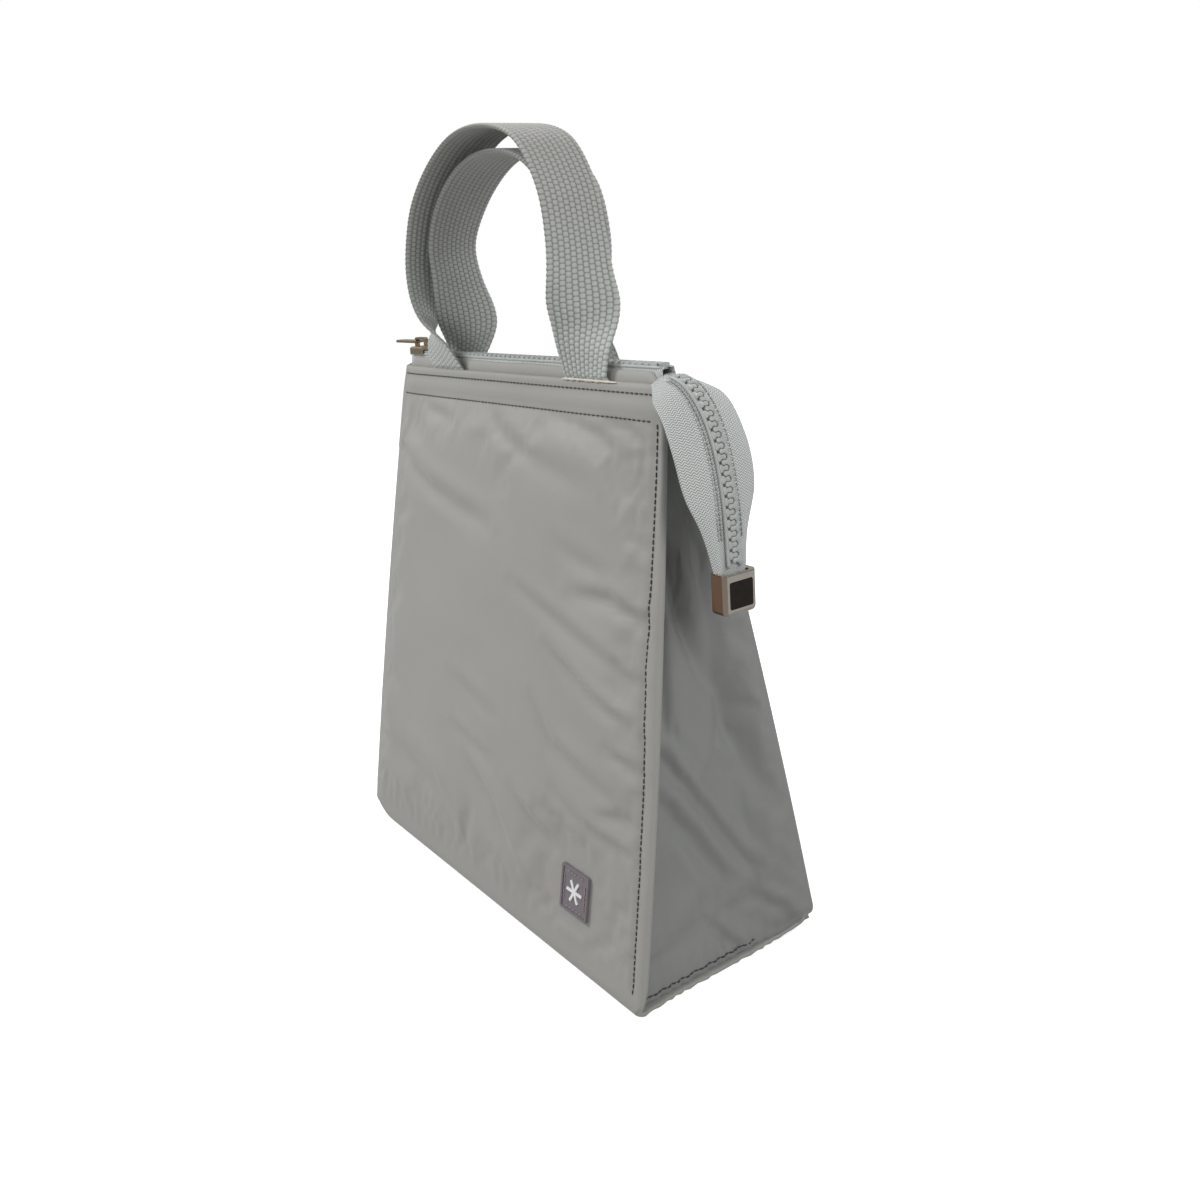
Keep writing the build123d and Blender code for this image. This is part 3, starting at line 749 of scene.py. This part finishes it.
def build_wrap():
    """Front, base and back as one sheet of nylon, its long edges rolled over padding."""
    path = wrap_path()
    profile = edge_profile()
    bare, reliefs, flats = (np.array(part) for part in zip(*[wrap_row(row, profile) for row in path]))
    uvs = []
    for row, down in zip(bare, run_along(path[:, :2])):
        across = run_along(row)
        uvs.append(joined(across - across[len(across) // 2], down))
    normals = np.repeat(joined(0, *path[:, 2:].T)[:, None], bare.shape[1], axis=1)
    grid = bare + normals * reliefs[..., None]
    grid = settle_wrap(grid, flats)
    out = ((grid - bare) * normals).sum(axis=2)
    short = np.where(flats > 0.9, np.maximum(LEAST_RELIEF - out, 0), 0)
    grid = soften_corners(grid + normals * short[..., None])
    grid[:, :, 2] = np.maximum(grid[:, :, 2], 0.05)
    uv = np.array(uvs)
    uv = np.concatenate([uv[:1] - (0, 2), uv[:1] - (0, 1), uv, uv[-1:] + (0, 1), uv[-1:] + (0, 2)])
    return sheet("shell_wrap", turn_in_top(grid), uv, MATERIALS["shell_nylon"], turned=True), grid


def settle_wrap(grid, flats):
    """Lets the cloth of the two panels buckle and settle between its seams."""
    z = grid[..., 2]
    x = np.abs(grid[..., 0])
    on_seam = smoothstep(x, half_width(z) - 14, half_width(z) - 7)
    on_hem = smoothstep(z, 232, 239)
    on_fold = 1 - smoothstep(z, 14, 24)
    held = np.maximum(np.maximum(on_seam, on_hem), np.maximum(on_fold, 1 - flats))
    on_badge = (1 - smoothstep(from_badge(grid[..., 0], z), 15, 24)) * (grid[..., 1] < 0)
    return settle(grid, np.maximum(held, on_badge), True, growth=0.012, pressure=1.0)


def settle(grid, held, turned, growth, pressure):
    """Simulates every second row and column of a sheet and spreads the movement over all of it."""
    coarse = grid[::2, ::2]
    faces = flip(grid_faces(*coarse.shape[:2]), turned)
    cloth = make_mesh("settling", coarse.reshape(-1, 3), faces, MATERIALS["shell_nylon"])
    moved = simulate(cloth, held[::2, ::2].ravel(), growth, pressure).reshape(coarse.shape)
    bpy.data.objects.remove(cloth)
    shift = moved - coarse
    size = np.linalg.norm(shift, axis=2, keepdims=True)
    shift *= np.minimum(1, MOST_SETTLE / np.maximum(size, 1e-6))
    for axis in (0, 1):
        shift = np.moveaxis(shift, axis, 0)
        full = np.zeros((grid.shape[axis], *shift.shape[1:]))
        full[::2] = shift
        full[1:-1:2] = (shift[:-1] + shift[1:]) / 2
        shift = np.moveaxis(full, 0, axis)
    return grid + shift


def simulate(obj, held, growth, pressure, frames=14):
    """Runs cloth on obj with gravity off; held is 1 where a point is pinned. Returns its points in mm."""
    group = obj.vertex_groups.new(name="held")
    levels = np.round(held * 10).astype(int)
    for level in range(1, 11):
        group.add(np.nonzero(levels == level)[0].tolist(), level / 10, "REPLACE")
    cloth = obj.modifiers.new("cloth", "CLOTH")
    values = {
        "quality": 6, "mass": 0.2, "tension_stiffness": 25, "compression_stiffness": 25,
        "shear_stiffness": 10, "bending_stiffness": 0.4, "vertex_group_mass": "held",
        "shrink_min": -growth, "use_pressure": True, "uniform_pressure_force": pressure,
    }
    for key, value in values.items():
        setattr(cloth.settings, key, value)
    cloth.settings.effector_weights.gravity = 0
    cloth.collision_settings.use_collision = False
    scene = bpy.context.scene
    scene.frame_start = 1
    scene.frame_end = frames
    cloth.point_cache.frame_start = 1
    cloth.point_cache.frame_end = frames
    for number in range(1, frames + 1):
        scene.frame_set(number)
    graph = bpy.context.evaluated_depsgraph_get()
    mesh = obj.evaluated_get(graph).to_mesh()
    points = np.zeros(len(mesh.vertices) * 3, np.float32)
    mesh.vertices.foreach_get("co", points)
    obj.modifiers.remove(cloth)
    scene.frame_set(1)
    return points.reshape(-1, 3).astype(float) / MM


def turn_in_top(grid):
    """Rolls the top edges of both panels over and down inside."""
    first, last = grid[:1], grid[-1:]
    return np.concatenate([first + (0, 1.3, -5.0), first + (0, 0.9, 0.35), grid, last + (0, -0.9, 0.35),
                           last + (0, -1.3, -5.0)])


def soften_corners(points):
    """Rounds the four lower corners; the front left one hangs softer than the rest."""
    points = np.array(points, float)
    for side_x in (-1, 1):
        for side_y in (-1, 1):
            radius = CORNER_RADII[side_x, side_y]
            x, y, z = points[..., 0], points[..., 1], points[..., 2]
            a = radius - np.clip(HALF_W + 1.5 - side_x * x, 0, radius)
            b = radius - np.clip(z, 0, radius)
            from_panel = half_depth(z) - side_y * y
            share = (1 - smoothstep(from_panel, 6, 34)) * (side_y * y > 0)
            length = np.hypot(a, b)
            shrink = np.where(length > 0, np.maximum(a, b) / np.maximum(length, 1e-6), 1.0)
            points[..., 0] = x - side_x * a * (1 - shrink) * share
            points[..., 2] = z + b * (1 - shrink) * share
    return points


def gusset_sag(y, z):
    """How far the gusset is folded inwards at each point."""
    half = half_depth(z) - EDGE_T
    share = np.clip(y / np.maximum(half, 1), -1, 1)
    high = smoothstep(z, 60, 190) * (1 - smoothstep(z, 236, 254))
    pocket = (1 - share ** 2) * (1.5 + 4.5 * high) * smoothstep(z, 0, 26)
    beside = (1.5 + 6.0 * high) * hill(share, -0.70, 0.26) * smoothstep(z, 20, 60)
    folds = [
        ([(-24, 112), (-4, 80), (21, 40)], 3.0, 1.2),
        ([(-27, 92), (-10, 66), (6, 38)], 4.5, 1.3),
        ([(-2, 22), (4, 12), (14, 1)], 2.6, 0.9),
        ([(6, 150), (16, 110), (30, 70)], 5.0, 1.2),
        ([(-8, 200), (-2, 160), (6, 128)], 4.0, 1.4),
        ([(24, 26), (34, 16), (44, 4)], 3.0, 0.7),
    ]
    slow = 0.9 * wobble(y, z, 21.0, 40.0) * (1 - share ** 2)
    return pocket + beside + crease_depth(y, z, folds) * 1.5 + slow


def build_gusset(side, name):
    """One side panel, set back between the flanges and folded inwards towards the mouth."""
    y = np.linspace(-1, 1, GUSSET_ACROSS)
    rows = []
    for share in np.linspace(0, 1, 113):
        arch = 1.2 * (1 - y ** 2)
        z = (0.8 + arch) * (1 - share) + (HEIGHT - 1.0) * share
        half = half_depth(z) - EDGE_T + 0.9 + (EDGE_T - 1.7) * smoothstep(y, 0.5, 1.0)
        depth = y * half
        sag = gusset_sag(depth, z) * (1 - np.abs(y) ** 8) * smoothstep(share, 0, 0.02)
        flare = (half_width(z) + 0.9 - gusset_x(z)) * smoothstep(y, 0.42, 0.95)
        flare *= 0.7 + 0.3 * smoothstep(z, 2, 16)
        x = gusset_x(z) - 0.2 - sag + flare + gusset_foot(depth, z)
        rows.append(np.c_[side * x, depth, z])
    grid = np.array(rows)
    uv = grid[..., 1:]
    height = grid[..., 2]
    at_foot_or_top = np.maximum(1 - smoothstep(height, 6, 16), smoothstep(height, 190, 225))
    held = np.maximum(smoothstep(np.abs(y), 0.8, 0.96), at_foot_or_top)
    grid = settle(grid, held, side < 0, growth=0.010, pressure=0.0)
    return sheet(name, soften_corners(grid), uv, MATERIALS["gusset_nylon"], turned=side < 0)


class Panel:
    """Finds places on the finished front (side -1) or back panel."""

    def __init__(self, grid, side):
        flat = grid[:, EDGE_STEPS + 1:-EDGE_STEPS - 1]
        column = flat[:, ACROSS // 2 - 4]
        keep = (side * column[:, 1] > 0) & (column[:, 2] > FOLD_R + 2)
        self.rows = flat[keep]
        self.normal = np.array([0, side / LEAN, SLOPE / LEAN])

    def at(self, x, z):
        cut = np.array([sample(x, row[:, 0], row[:, 1:]) for row in self.rows])
        cut = cut[np.argsort(cut[:, 1])]
        return np.array([x, np.interp(z, cut[:, 1], cut[:, 0]), z])


def build_threads(grid):
    """Hem rows, the flange seams and the seams at the foot of the gussets."""
    hem = Pile()
    seams = Pile()
    half = TOP_HALF_W - 3.5
    for side in (-1, 1):
        panel = Panel(grid, side)
        for z in HEM_ROWS:
            line = [panel.at(x, z) for x in np.linspace(-half, half, 70)]
            stitch_row(hem, line, [panel.normal] * len(line), pitch=3.0, length=2.7, radius=0.34)
        for edge in (-1, 1):
            if side < 0 and edge < 0:
                continue      # the softer front left edge has no visible seam
            line = [panel.at(edge * float(stitch_x(z)), z) for z in np.linspace(241, 12, 110)]
            line.append(line[-1] + (edge * 2.0, 0, -3.5))
            stitch_row(seams, line, [panel.normal] * len(line), pitch=2.6, length=2.35, radius=0.36)
    for edge in (-1, 1):
        y = np.linspace(-44, 22, 90)
        z = 4.9 + 0.6 * (1 - (y / 47) ** 2)
        line = soften_corners(np.c_[edge * (gusset_x(z) - 0.1 + gusset_foot(y, z)), y, z])
        stitch_row(seams, line, [(edge, 0, 0)] * len(y), pitch=2.7, length=2.4, radius=0.38)
    hem_object = hem.object("hem_threads", MATERIALS["dark_thread"])
    return hem_object, seams.object("seam_threads", MATERIALS["dark_thread"])


# ---------------------------------------------------------------- mouth
def build_placket(side, name):
    """The nylon strip between hem and zip: up from inside the hem, over its own fold and down again."""
    outline = [(5.9, 244), (5.7, 250), (5.6, 254), (5.2, 256.6), (4.5, RIDGE_Z - 0.6), (4.1, RIDGE_Z - 0.1),
               (3.75, RIDGE_Z), (3.5, RIDGE_Z - 0.3), (3.6, RIDGE_Z - 1.6), (4.3, 255.4), (4.9, 251)]
    xs = np.linspace(-MOUTH_HALF, MOUTH_HALF, 121)
    low_end = smoothstep(np.abs(xs), MOUTH_HALF - 6, MOUTH_HALF)
    rows = []
    for y, z in outline:
        wave = wobble(xs, y, 5.0 * side, 24.0)
        lift = max(z - HEIGHT + 0.6, 0)
        height = z - lift * 0.75 * low_end + 0.3 * wave * min(lift, 1)
        rows.append(joined(xs, side * (y + 0.25 * wave), height))
    uvs = [joined(xs, z) for _y, z in outline]
    return sheet(name, facing(rows, side), uvs, MATERIALS["shell_nylon"], 0.45, 0.0)


def facing(rows, side):
    """Rows of points in the order that makes a strip on that side face outwards."""
    return np.array(rows)[:, ::-1] if side > 0 else np.array(rows)


def build_tape(side, name):
    """Woven tape from inside the placket up to the teeth."""
    outline = [(4.6, 246), (4.2, 251), (3.75, 255), (3.2, 258.6), (2.9, 260.4), (2.5, 261.0), (1.9, 261.1)]
    xs = np.linspace(-MOUTH_HALF, MOUTH_HALF, 101)
    rows = [joined(xs, side * y, z) for y, z in outline]
    uvs = [joined(z, xs) for _y, z in outline]
    return sheet(name, facing(rows, side), uvs, MATERIALS["zip_tape"], 0.5, 0.0)


def tooth_shape(height):
    """One tooth seen from above: wide foot on the cord at -y, narrow rounded head past the centre line."""
    outline = [
        (-1.45, -2.9), (1.45, -2.9), (1.55, -1.9), (1.35, -1.5), (0.85, -1.15), (0.78, -0.6), (0.9, -0.2),
        (0.98, 0.3), (0.9, 0.9), (0.55, 1.2), (0, 1.28), (-0.55, 1.2), (-0.9, 0.9), (-0.98, 0.3),
        (-0.9, -0.2), (-0.78, -0.6), (-0.85, -1.15), (-1.35, -1.5), (-1.55, -1.9),
    ]
    return prism(outline, -height / 2, height / 2, 0.2)


def build_mouth_chain(side, name):
    """Teeth and cord of one half of the zip along the mouth."""
    pile = Pile()
    points, faces = tooth_shape(2.6)
    count = int((2 * MOUTH_HALF - TOOTH_PITCH) / TOOTH_PITCH)
    for i in range(count):
        x = -MOUTH_HALF + TOOTH_PITCH * (i + 0.6) + (TOOTH_PITCH / 2 if side > 0 else 0)
        pile.add(placed(points, (x, 0, CHAIN_Z), (1, 0, 0), (0, -side, 0), (0, 0, 1)), flip(faces, side > 0))
    xs = np.linspace(-MOUTH_HALF + 0.4, MOUTH_HALF - 0.4, 60)
    thread(pile, joined(xs, side * 2.75, CHAIN_Z - 0.3), 0.75, 8)
    return pile.object(name, MATERIALS["zip_teeth"])


# ---------------------------------------------------------------- handles
def strap_frames(stations, count):
    """Middle points, width directions and face normals along a webbing loop."""
    share = np.linspace(0, 1, count)
    at = spline(stations, share)
    turn = np.radians(at[:, 3])
    width = joined(np.cos(turn), np.sin(turn), 0)
    return at[:, :3], width, unit(np.cross(width, heading(stations, share)[:, :3]))


def weave_height(u, v):
    """Relief of the basket weave at a place on the strap, 0 in a gap and 1 on a tuft."""
    column = np.floor((u + TUFT_W / 2) / TUFT_W)
    shift = (column % 2) * TUFT_L / 2
    return (np.abs(np.cos(pi * u / TUFT_W)) * np.abs(np.cos(pi * (v + shift) / TUFT_L))) ** 0.6


def foot_path(station):
    """Points inside the hem that carry the strap down from its fold."""
    x, y = station[:2]
    return [(x, np.sign(y) * inset, z) for inset, z in ((7.1, 255.9), (6.1, 254.4), (6.0, 250), (6.4, 246))]


def build_handle(stations, name, node):
    """A loop of thick basket-weave webbing, from inside the hem over the top and back into the hem."""
    centre, width, normal = strap_frames(stations, 260)
    feet = [foot_path(stations[0])[::-1], foot_path(stations[-1])]
    centre = np.concatenate([feet[0], centre, feet[1]])
    width, normal = (np.pad(v, ((len(feet[0]), len(feet[1])), (0, 0)), "edge") for v in (width, normal))
    run = run_along(centre)
    count = int(run[-1] / 0.77)
    s = np.linspace(0, run[-1], count)
    centre, width, normal = sample(s, run, centre), unit(sample(s, run, width)), unit(sample(s, run, normal))
    half = STRAP_W / 2
    us = np.linspace(-half + 0.25, half - 0.25, 45)
    ring_u = np.r_[us, half, us[::-1], -half]
    ring_side = np.r_[np.ones(45), 0, -np.ones(45), 0]
    grid = np.zeros((count, len(ring_u), 3))
    for k, (u, side) in enumerate(zip(ring_u, ring_side)):
        edge = np.clip((half - abs(u)) / 1.2, 0, 1) ** 0.5
        relief = 0.42 * weave_height(u, s + (1.15 if side < 0 else 0))
        thick = (STRAP_T / 2 - 0.3 + relief) * side * max(edge, 0.35)
        ragged = 0.18 * np.sin(2 * pi * s / 2.3) * (abs(u) > half - 0.5) * np.sign(u)
        grid[:, k] = centre + width * (u + ragged)[:, None] + normal * thick[:, None]
    uv = joined(ring_u, s[:, None])
    faces = grid_faces(count, len(ring_u), around=True)
    faces.append(tuple(range(len(ring_u)))[::-1])
    faces.append(tuple(range((count - 1) * len(ring_u), count * len(ring_u))))
    handle = make_mesh(name, grid.reshape(-1, 3), faces, MATERIALS["webbing"], uv.reshape(-1, 2))
    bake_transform(handle)
    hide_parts(node)
    return handle


def build_strap_trim():
    """The raw cream edge of the strap's facing, showing along the hem at the right front foot."""
    rng = np.random.default_rng(7)
    low, high = cad_box("strap_trim")
    xs = np.linspace(low[0], high[0], 90)
    fade = smoothstep(xs, low[0], low[0] + 2) * (1 - smoothstep(xs, high[0] - 12, high[0]))
    ragged = rng.uniform(-0.22, 0.22, len(xs))
    y = -TOP_HALF_D - 0.35
    rows = [
        joined(xs, y + 1.3, 255.0 + 0.5 * fade),
        joined(xs, y + 0.4, 255.3 + (0.5 + ragged) * fade),
        joined(xs, y - 0.2, 255.2 + (0.3 + ragged) * fade),
        joined(xs, y - 0.3, 254.9 - (0.2 + 1.6 * ragged) * fade),
    ]
    uvs = [joined(xs, i) for i in range(4)]
    return sheet("strap_trim_edge", rows, uvs, MATERIALS["cream_trim"], 0.5, 1.0)


# ---------------------------------------------------------------- zip tail
def tail_frames(count):
    """Distance, points, direction and outward normal along the tail's line, all in XZ."""
    share = np.linspace(0, 1, count)
    x, z = spline(TAIL_LINE, share).T
    along_x, along_z = unit(heading(TAIL_LINE, share)).T
    point = joined(x, 0, z)
    return run_along(point), point, joined(along_x, 0, along_z), joined(-along_z, 0, along_x)


def build_tail_tape():
    """Both halves of the tape as one curved band, its edges curling back, gathered into the cap."""
    count = 110
    share = np.linspace(0, 1, count)
    run, point, _along, normal = tail_frames(count)
    half = spline(TAIL_HALF_WIDTHS, share)[:, 0]
    droop = spline(TAIL_DROOP, share)[:, 0]
    columns = np.linspace(-1, 1, 61)
    rows = []
    uvs = []
    for j in range(count):
        y = columns * half[j]
        neck = smoothstep(share[j], 0.66, 0.9)
        gather = neck * 0.9 * np.cos(columns * 9.0) * np.abs(columns)
        ripple = 0.35 * wobble(y, run[j], 11.0, 12.0) * np.abs(columns)
        channel = 0.5 * hill(np.abs(y), 4.6, 0.6)
        out = -droop[j] * columns ** 2 + gather + ripple - channel * (1 - neck)
        out = np.where(np.abs(y) < 3.4, np.minimum(out, 0.0), out)
        rows.append(point[j] + np.outer(y, (0, 1, 0)) + np.outer(out, normal[j]))
        uvs.append(joined(columns * 18.0, run[j]))
    rows.insert(0, rows[0] * (0, 0.62, 1) + (RIDGE_END - 0.2, 0, 0.9))
    uvs.insert(0, uvs[0] - (0, 3.2))
    return apply_modifiers(sheet("tail_tape", rows, uvs, MATERIALS["zip_tape"], offset=0.0))


def build_tail_chain(side, name):
    """Teeth and cord on one half of the tail."""
    pile = Pile()
    points, faces = tooth_shape(1.7)
    run, point, along, normal = tail_frames(400)
    stop = run[-1] - 9.5
    for s in np.arange(3.2 + (TOOTH_PITCH / 2 if side > 0 else 0), stop - 1, TOOTH_PITCH):
        centre, t, n = (sample(s, run, values) for values in (point, along, normal))
        pile.add(placed(points, centre + n * 1.2, t, (0, -side, 0), n), flip(faces, side > 0))
    s = np.linspace(1.0, stop, 70)
    path = sample(s, run, point) + sample(s, run, normal) * 0.95 + (0, side * 2.85, 0)
    thread(pile, path, 0.8, 8)
    return pile.object(name, MATERIALS["zip_teeth"])


def build_tail_stitches():
    """Rows of small bead stitches that hold the cords to the tail's tape."""
    pile = Pile()
    run, point, _along, normal = tail_frames(300)
    keep = (run > 2.5) & (run < run[-1] - 20)
    for side in (-1, 1):
        for offset, lift in ((4.5, 0.15), (5.9, 0.25)):
            path = point + normal * (lift - 3.4 * (offset / 18) ** 2) + (0, side * offset, 0)
            stitch_row(pile, path[keep], normal[keep], pitch=1.9, length=1.5, radius=0.34)
    return pile.object("tail_bead_stitches", MATERIALS["tape_thread"])


def build_cap():
    """Folded metal end cap: bevelled box with an inset front plate, open at the top."""
    centre = (CAP_LOW + CAP_HIGH) / 2
    half = (CAP_HIGH - CAP_LOW) / 2
    pile = Pile()
    top = half[2]
    levels = [      # height and width share, from inside the open top over its rim to the bottom
        (top - 5.0, 0.72), (top - 0.2, 0.72), (top, 0.86), (top, 0.98), (top - 0.7, 1.0),
        (-top + 1.6, 1.0), (-top + 0.5, 0.93), (-top, 0.80),
    ]
    outline = np.array(chamfered_outline(half[0], half[1], 1.5))
    n = len(outline)
    points = []
    for z, scale in levels:
        points.extend([(x, y, z) for x, y in outline * scale])
    rows = len(levels)
    faces = grid_faces(rows, n, around=True)
    faces.append(tuple(range(n * (rows - 1), n * rows)))
    faces.append(tuple(range(n))[::-1])
    pile.add(np.array(points) + centre, flip(faces, True))
    body_faces = len(pile.faces)
    for side in (-1, 1):
        plate, plate_faces = prism(rounded_outline(half[1] - 2.6, half[2] - 2.8, 0.8), 0, 0.9, 0.35)
        origin = centre + np.array([side * (half[0] - 0.55), 0, -0.3])
        pile.add(placed(plate, origin, (0, side, 0), (0, 0, 1), (side, 0, 0)), plate_faces)
    cap = pile.object("tail_cap", MATERIALS["cap_metal"], smooth=False)
    cap.data.materials.append(MATERIALS["cap_plate"])
    for polygon in cap.data.polygons[body_faces:]:
        polygon.material_index = 1
    round_edges(cap, 0.25, 25)
    return apply_modifiers(cap)


def chamfered_outline(half_x, half_y, cut):
    """An eight-cornered outline, counter-clockwise."""
    inner_x, inner_y = half_x - cut, half_y - cut
    return [(half_x, -inner_y), (half_x, inner_y), (inner_x, half_y), (-inner_x, half_y),
            (-half_x, inner_y), (-half_x, -inner_y), (-inner_x, -half_y), (inner_x, -half_y)]


# ---------------------------------------------------------------- CAD nodes that stay
def finish_cad_nodes():
    """Materials for the CAD nodes that are shown, and rounded edges on the hard ones."""
    kept = {
        "slider_body": ("slider_metal", 0.35), "pull_tab": ("slider_metal", 0.3),
        "zip_end_stop": ("zip_teeth", 0.3), "badge_patch": ("badge_rubber", 0.35),
        "badge_emblem": ("badge_mark", 0.15), "badge_stitching": ("badge_thread", 0.12),
        "foam_back": ("foam", 0), "strap_ends_front": ("webbing", 0),
        "strap_ends_back": ("webbing", 0),
    }
    for node, (material, edge) in kept.items():
        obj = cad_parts[node]
        obj.data.materials.clear()
        obj.data.materials.append(MATERIALS[material])
        if edge:
            round_edges(obj, edge, 30)


def build_inner_layer(node, material):
    """A foam or lining sheet that keeps inside the softened corners and the folded gussets."""
    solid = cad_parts[node]
    points = np.array([solid.matrix_world @ vertex.co for vertex in solid.data.vertices]) / MM
    points[:, 0] -= np.sign(points[:, 0]) * INNER_TAPER * np.clip(points[:, 2] / HEIGHT, 0, 1)
    faces = [tuple(polygon.vertices) for polygon in solid.data.polygons]
    return make_mesh(f"{node}_sheet", soften_corners(points), faces, MATERIALS[material], smooth=False)


# ---------------------------------------------------------------- assembly
def dress(obj, body, slot, *nodes):
    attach(obj, body)
    if nodes:
        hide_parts(*nodes)


def build_bag():
    wrap, grid = build_wrap()
    dress(wrap, "bag", "shell_nylon", "outer_wrap")
    for side, word in ((-1, "left"), (1, "right")):
        gusset = build_gusset(side, f"gusset_panel_{word}")
        dress(gusset, "bag", "gusset_nylon", f"outer_gusset_{word}", f"foam_gusset_{word}",
              f"lining_gusset_{word}")
    hem, seams = build_threads(grid)
    dress(hem, "bag", "dark_thread", "hem_stitching")
    dress(seams, "bag", "dark_thread", "gusset_stitching")
    for side, word in ((-1, "front"), (1, "back")):
        dress(build_placket(side, f"placket_{word}_cloth"), "bag", "shell_nylon", f"placket_{word}")
        dress(build_tape(side, f"zip_tape_{word}_cloth"), "bag", "zip_tape", f"zip_tape_{word}")
        dress(build_mouth_chain(side, f"zip_chain_{word}"), "bag", "zip_teeth", f"zip_teeth_{word}")
    dress(build_strap_trim(), "bag", "cream_trim", "strap_trim")
    for node, slot in (("foam_front", "foam"), ("foam_base", "foam"), ("lining_wrap", "lining_foil")):
        dress(build_inner_layer(node, slot), "bag", slot, node)


def build_tail():
    tape = build_tail_tape()
    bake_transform(tape)
    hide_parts("tail_tape_front", "tail_tape_back")
    for side, word in ((-1, "front"), (1, "back")):
        dress(build_tail_chain(side, f"tail_chain_{word}"), "tail", "zip_teeth", f"tail_teeth_{word}")
    dress(build_tail_stitches(), "tail", "zip_tape")
    dress(build_cap(), "tail", "cap_metal", "tail_end_cap")


def build_floor():
    s = Shader("floor")
    seen = s.node("ShaderNodeLightPath").outputs["Is Camera Ray"]
    s.set(Base_Color=s.mix(seen, (0.42, 0.42, 0.42), (0.90, 0.90, 0.90)), Roughness=0.9)
    s.set(Emission_Color=(1.0, 1.0, 1.0), Emission_Strength=s.times(seen, 0.62))
    size = 12000.0
    points = [(-size, -size, 0), (size, -size, 0), (size, size, 0), (-size, size, 0)]
    floor = make_mesh("floor", points, [(0, 1, 2, 3)], s.material, smooth=False)


def area_light(name, place, target, size, power):
    data = bpy.data.lights.new(name, "AREA")
    data.size = size
    data.energy = power
    obj = bpy.data.objects.new(name, data)
    bpy.context.scene.collection.objects.link(obj)
    obj.location = place
    obj.rotation_euler = (Vector(target) - Vector(place)).to_track_quat("-Z", "Y").to_euler()


def build_lights():
    world = bpy.data.worlds.new("studio")
    bpy.context.scene.world = world
    world.use_nodes = True
    tree = world.node_tree
    background = tree.nodes["Background"]
    background.inputs["Color"].default_value = (1.0, 1.0, 1.0, 1.0)
    seen = tree.nodes.new("ShaderNodeLightPath").outputs["Is Camera Ray"]
    strength = tree.nodes.new("ShaderNodeMapRange")
    strength.inputs["To Min"].default_value = 0.42
    strength.inputs["To Max"].default_value = 1.0
    tree.links.new(seen, strength.inputs["Value"])
    tree.links.new(strength.outputs["Result"], background.inputs["Strength"])
    middle = (0, 0, 0.15)
    area_light("key", (-1.0, -1.0, 1.35), middle, 0.55, 20)
    area_light("front", (0.5, -1.7, 0.7), middle, 1.0, 5)
    area_light("side", (1.5, 0.1, 0.9), middle, 0.8, 11)
    area_light("back", (-0.4, 1.6, 1.0), middle, 1.0, 9)


def build_camera():
    data = bpy.data.cameras.new("camera")
    data.sensor_width = 36.0
    data.lens = 33.27
    data.clip_start = 0.01
    camera = bpy.data.objects.new("camera", data)
    bpy.context.scene.collection.objects.link(camera)
    yaw, pitch, roll = radians(55.15), radians(17.28), radians(-4.26)
    forward = Vector((-sin(yaw) * cos(pitch), cos(yaw) * cos(pitch), -sin(pitch)))
    level = Vector((cos(yaw), sin(yaw), 0))
    upright = level.cross(forward)
    right = level * cos(roll) + upright * sin(roll)
    up = upright * cos(roll) - level * sin(roll)
    matrix = Matrix((right, up, -forward)).transposed().to_4x4()
    matrix.translation = Vector((0.4401, -0.2734, 0.3042))
    camera.matrix_world = matrix
    bpy.context.scene.camera = camera


build_bag()
build_handle(FRONT_LOOP, "handle_front_webbing", "handle_front")
build_handle(BACK_LOOP, "handle_back_webbing", "handle_back")
build_tail()
finish_cad_nodes()
build_floor()
build_lights()
build_camera()
bpy.context.scene.view_settings.view_transform = "Standard"
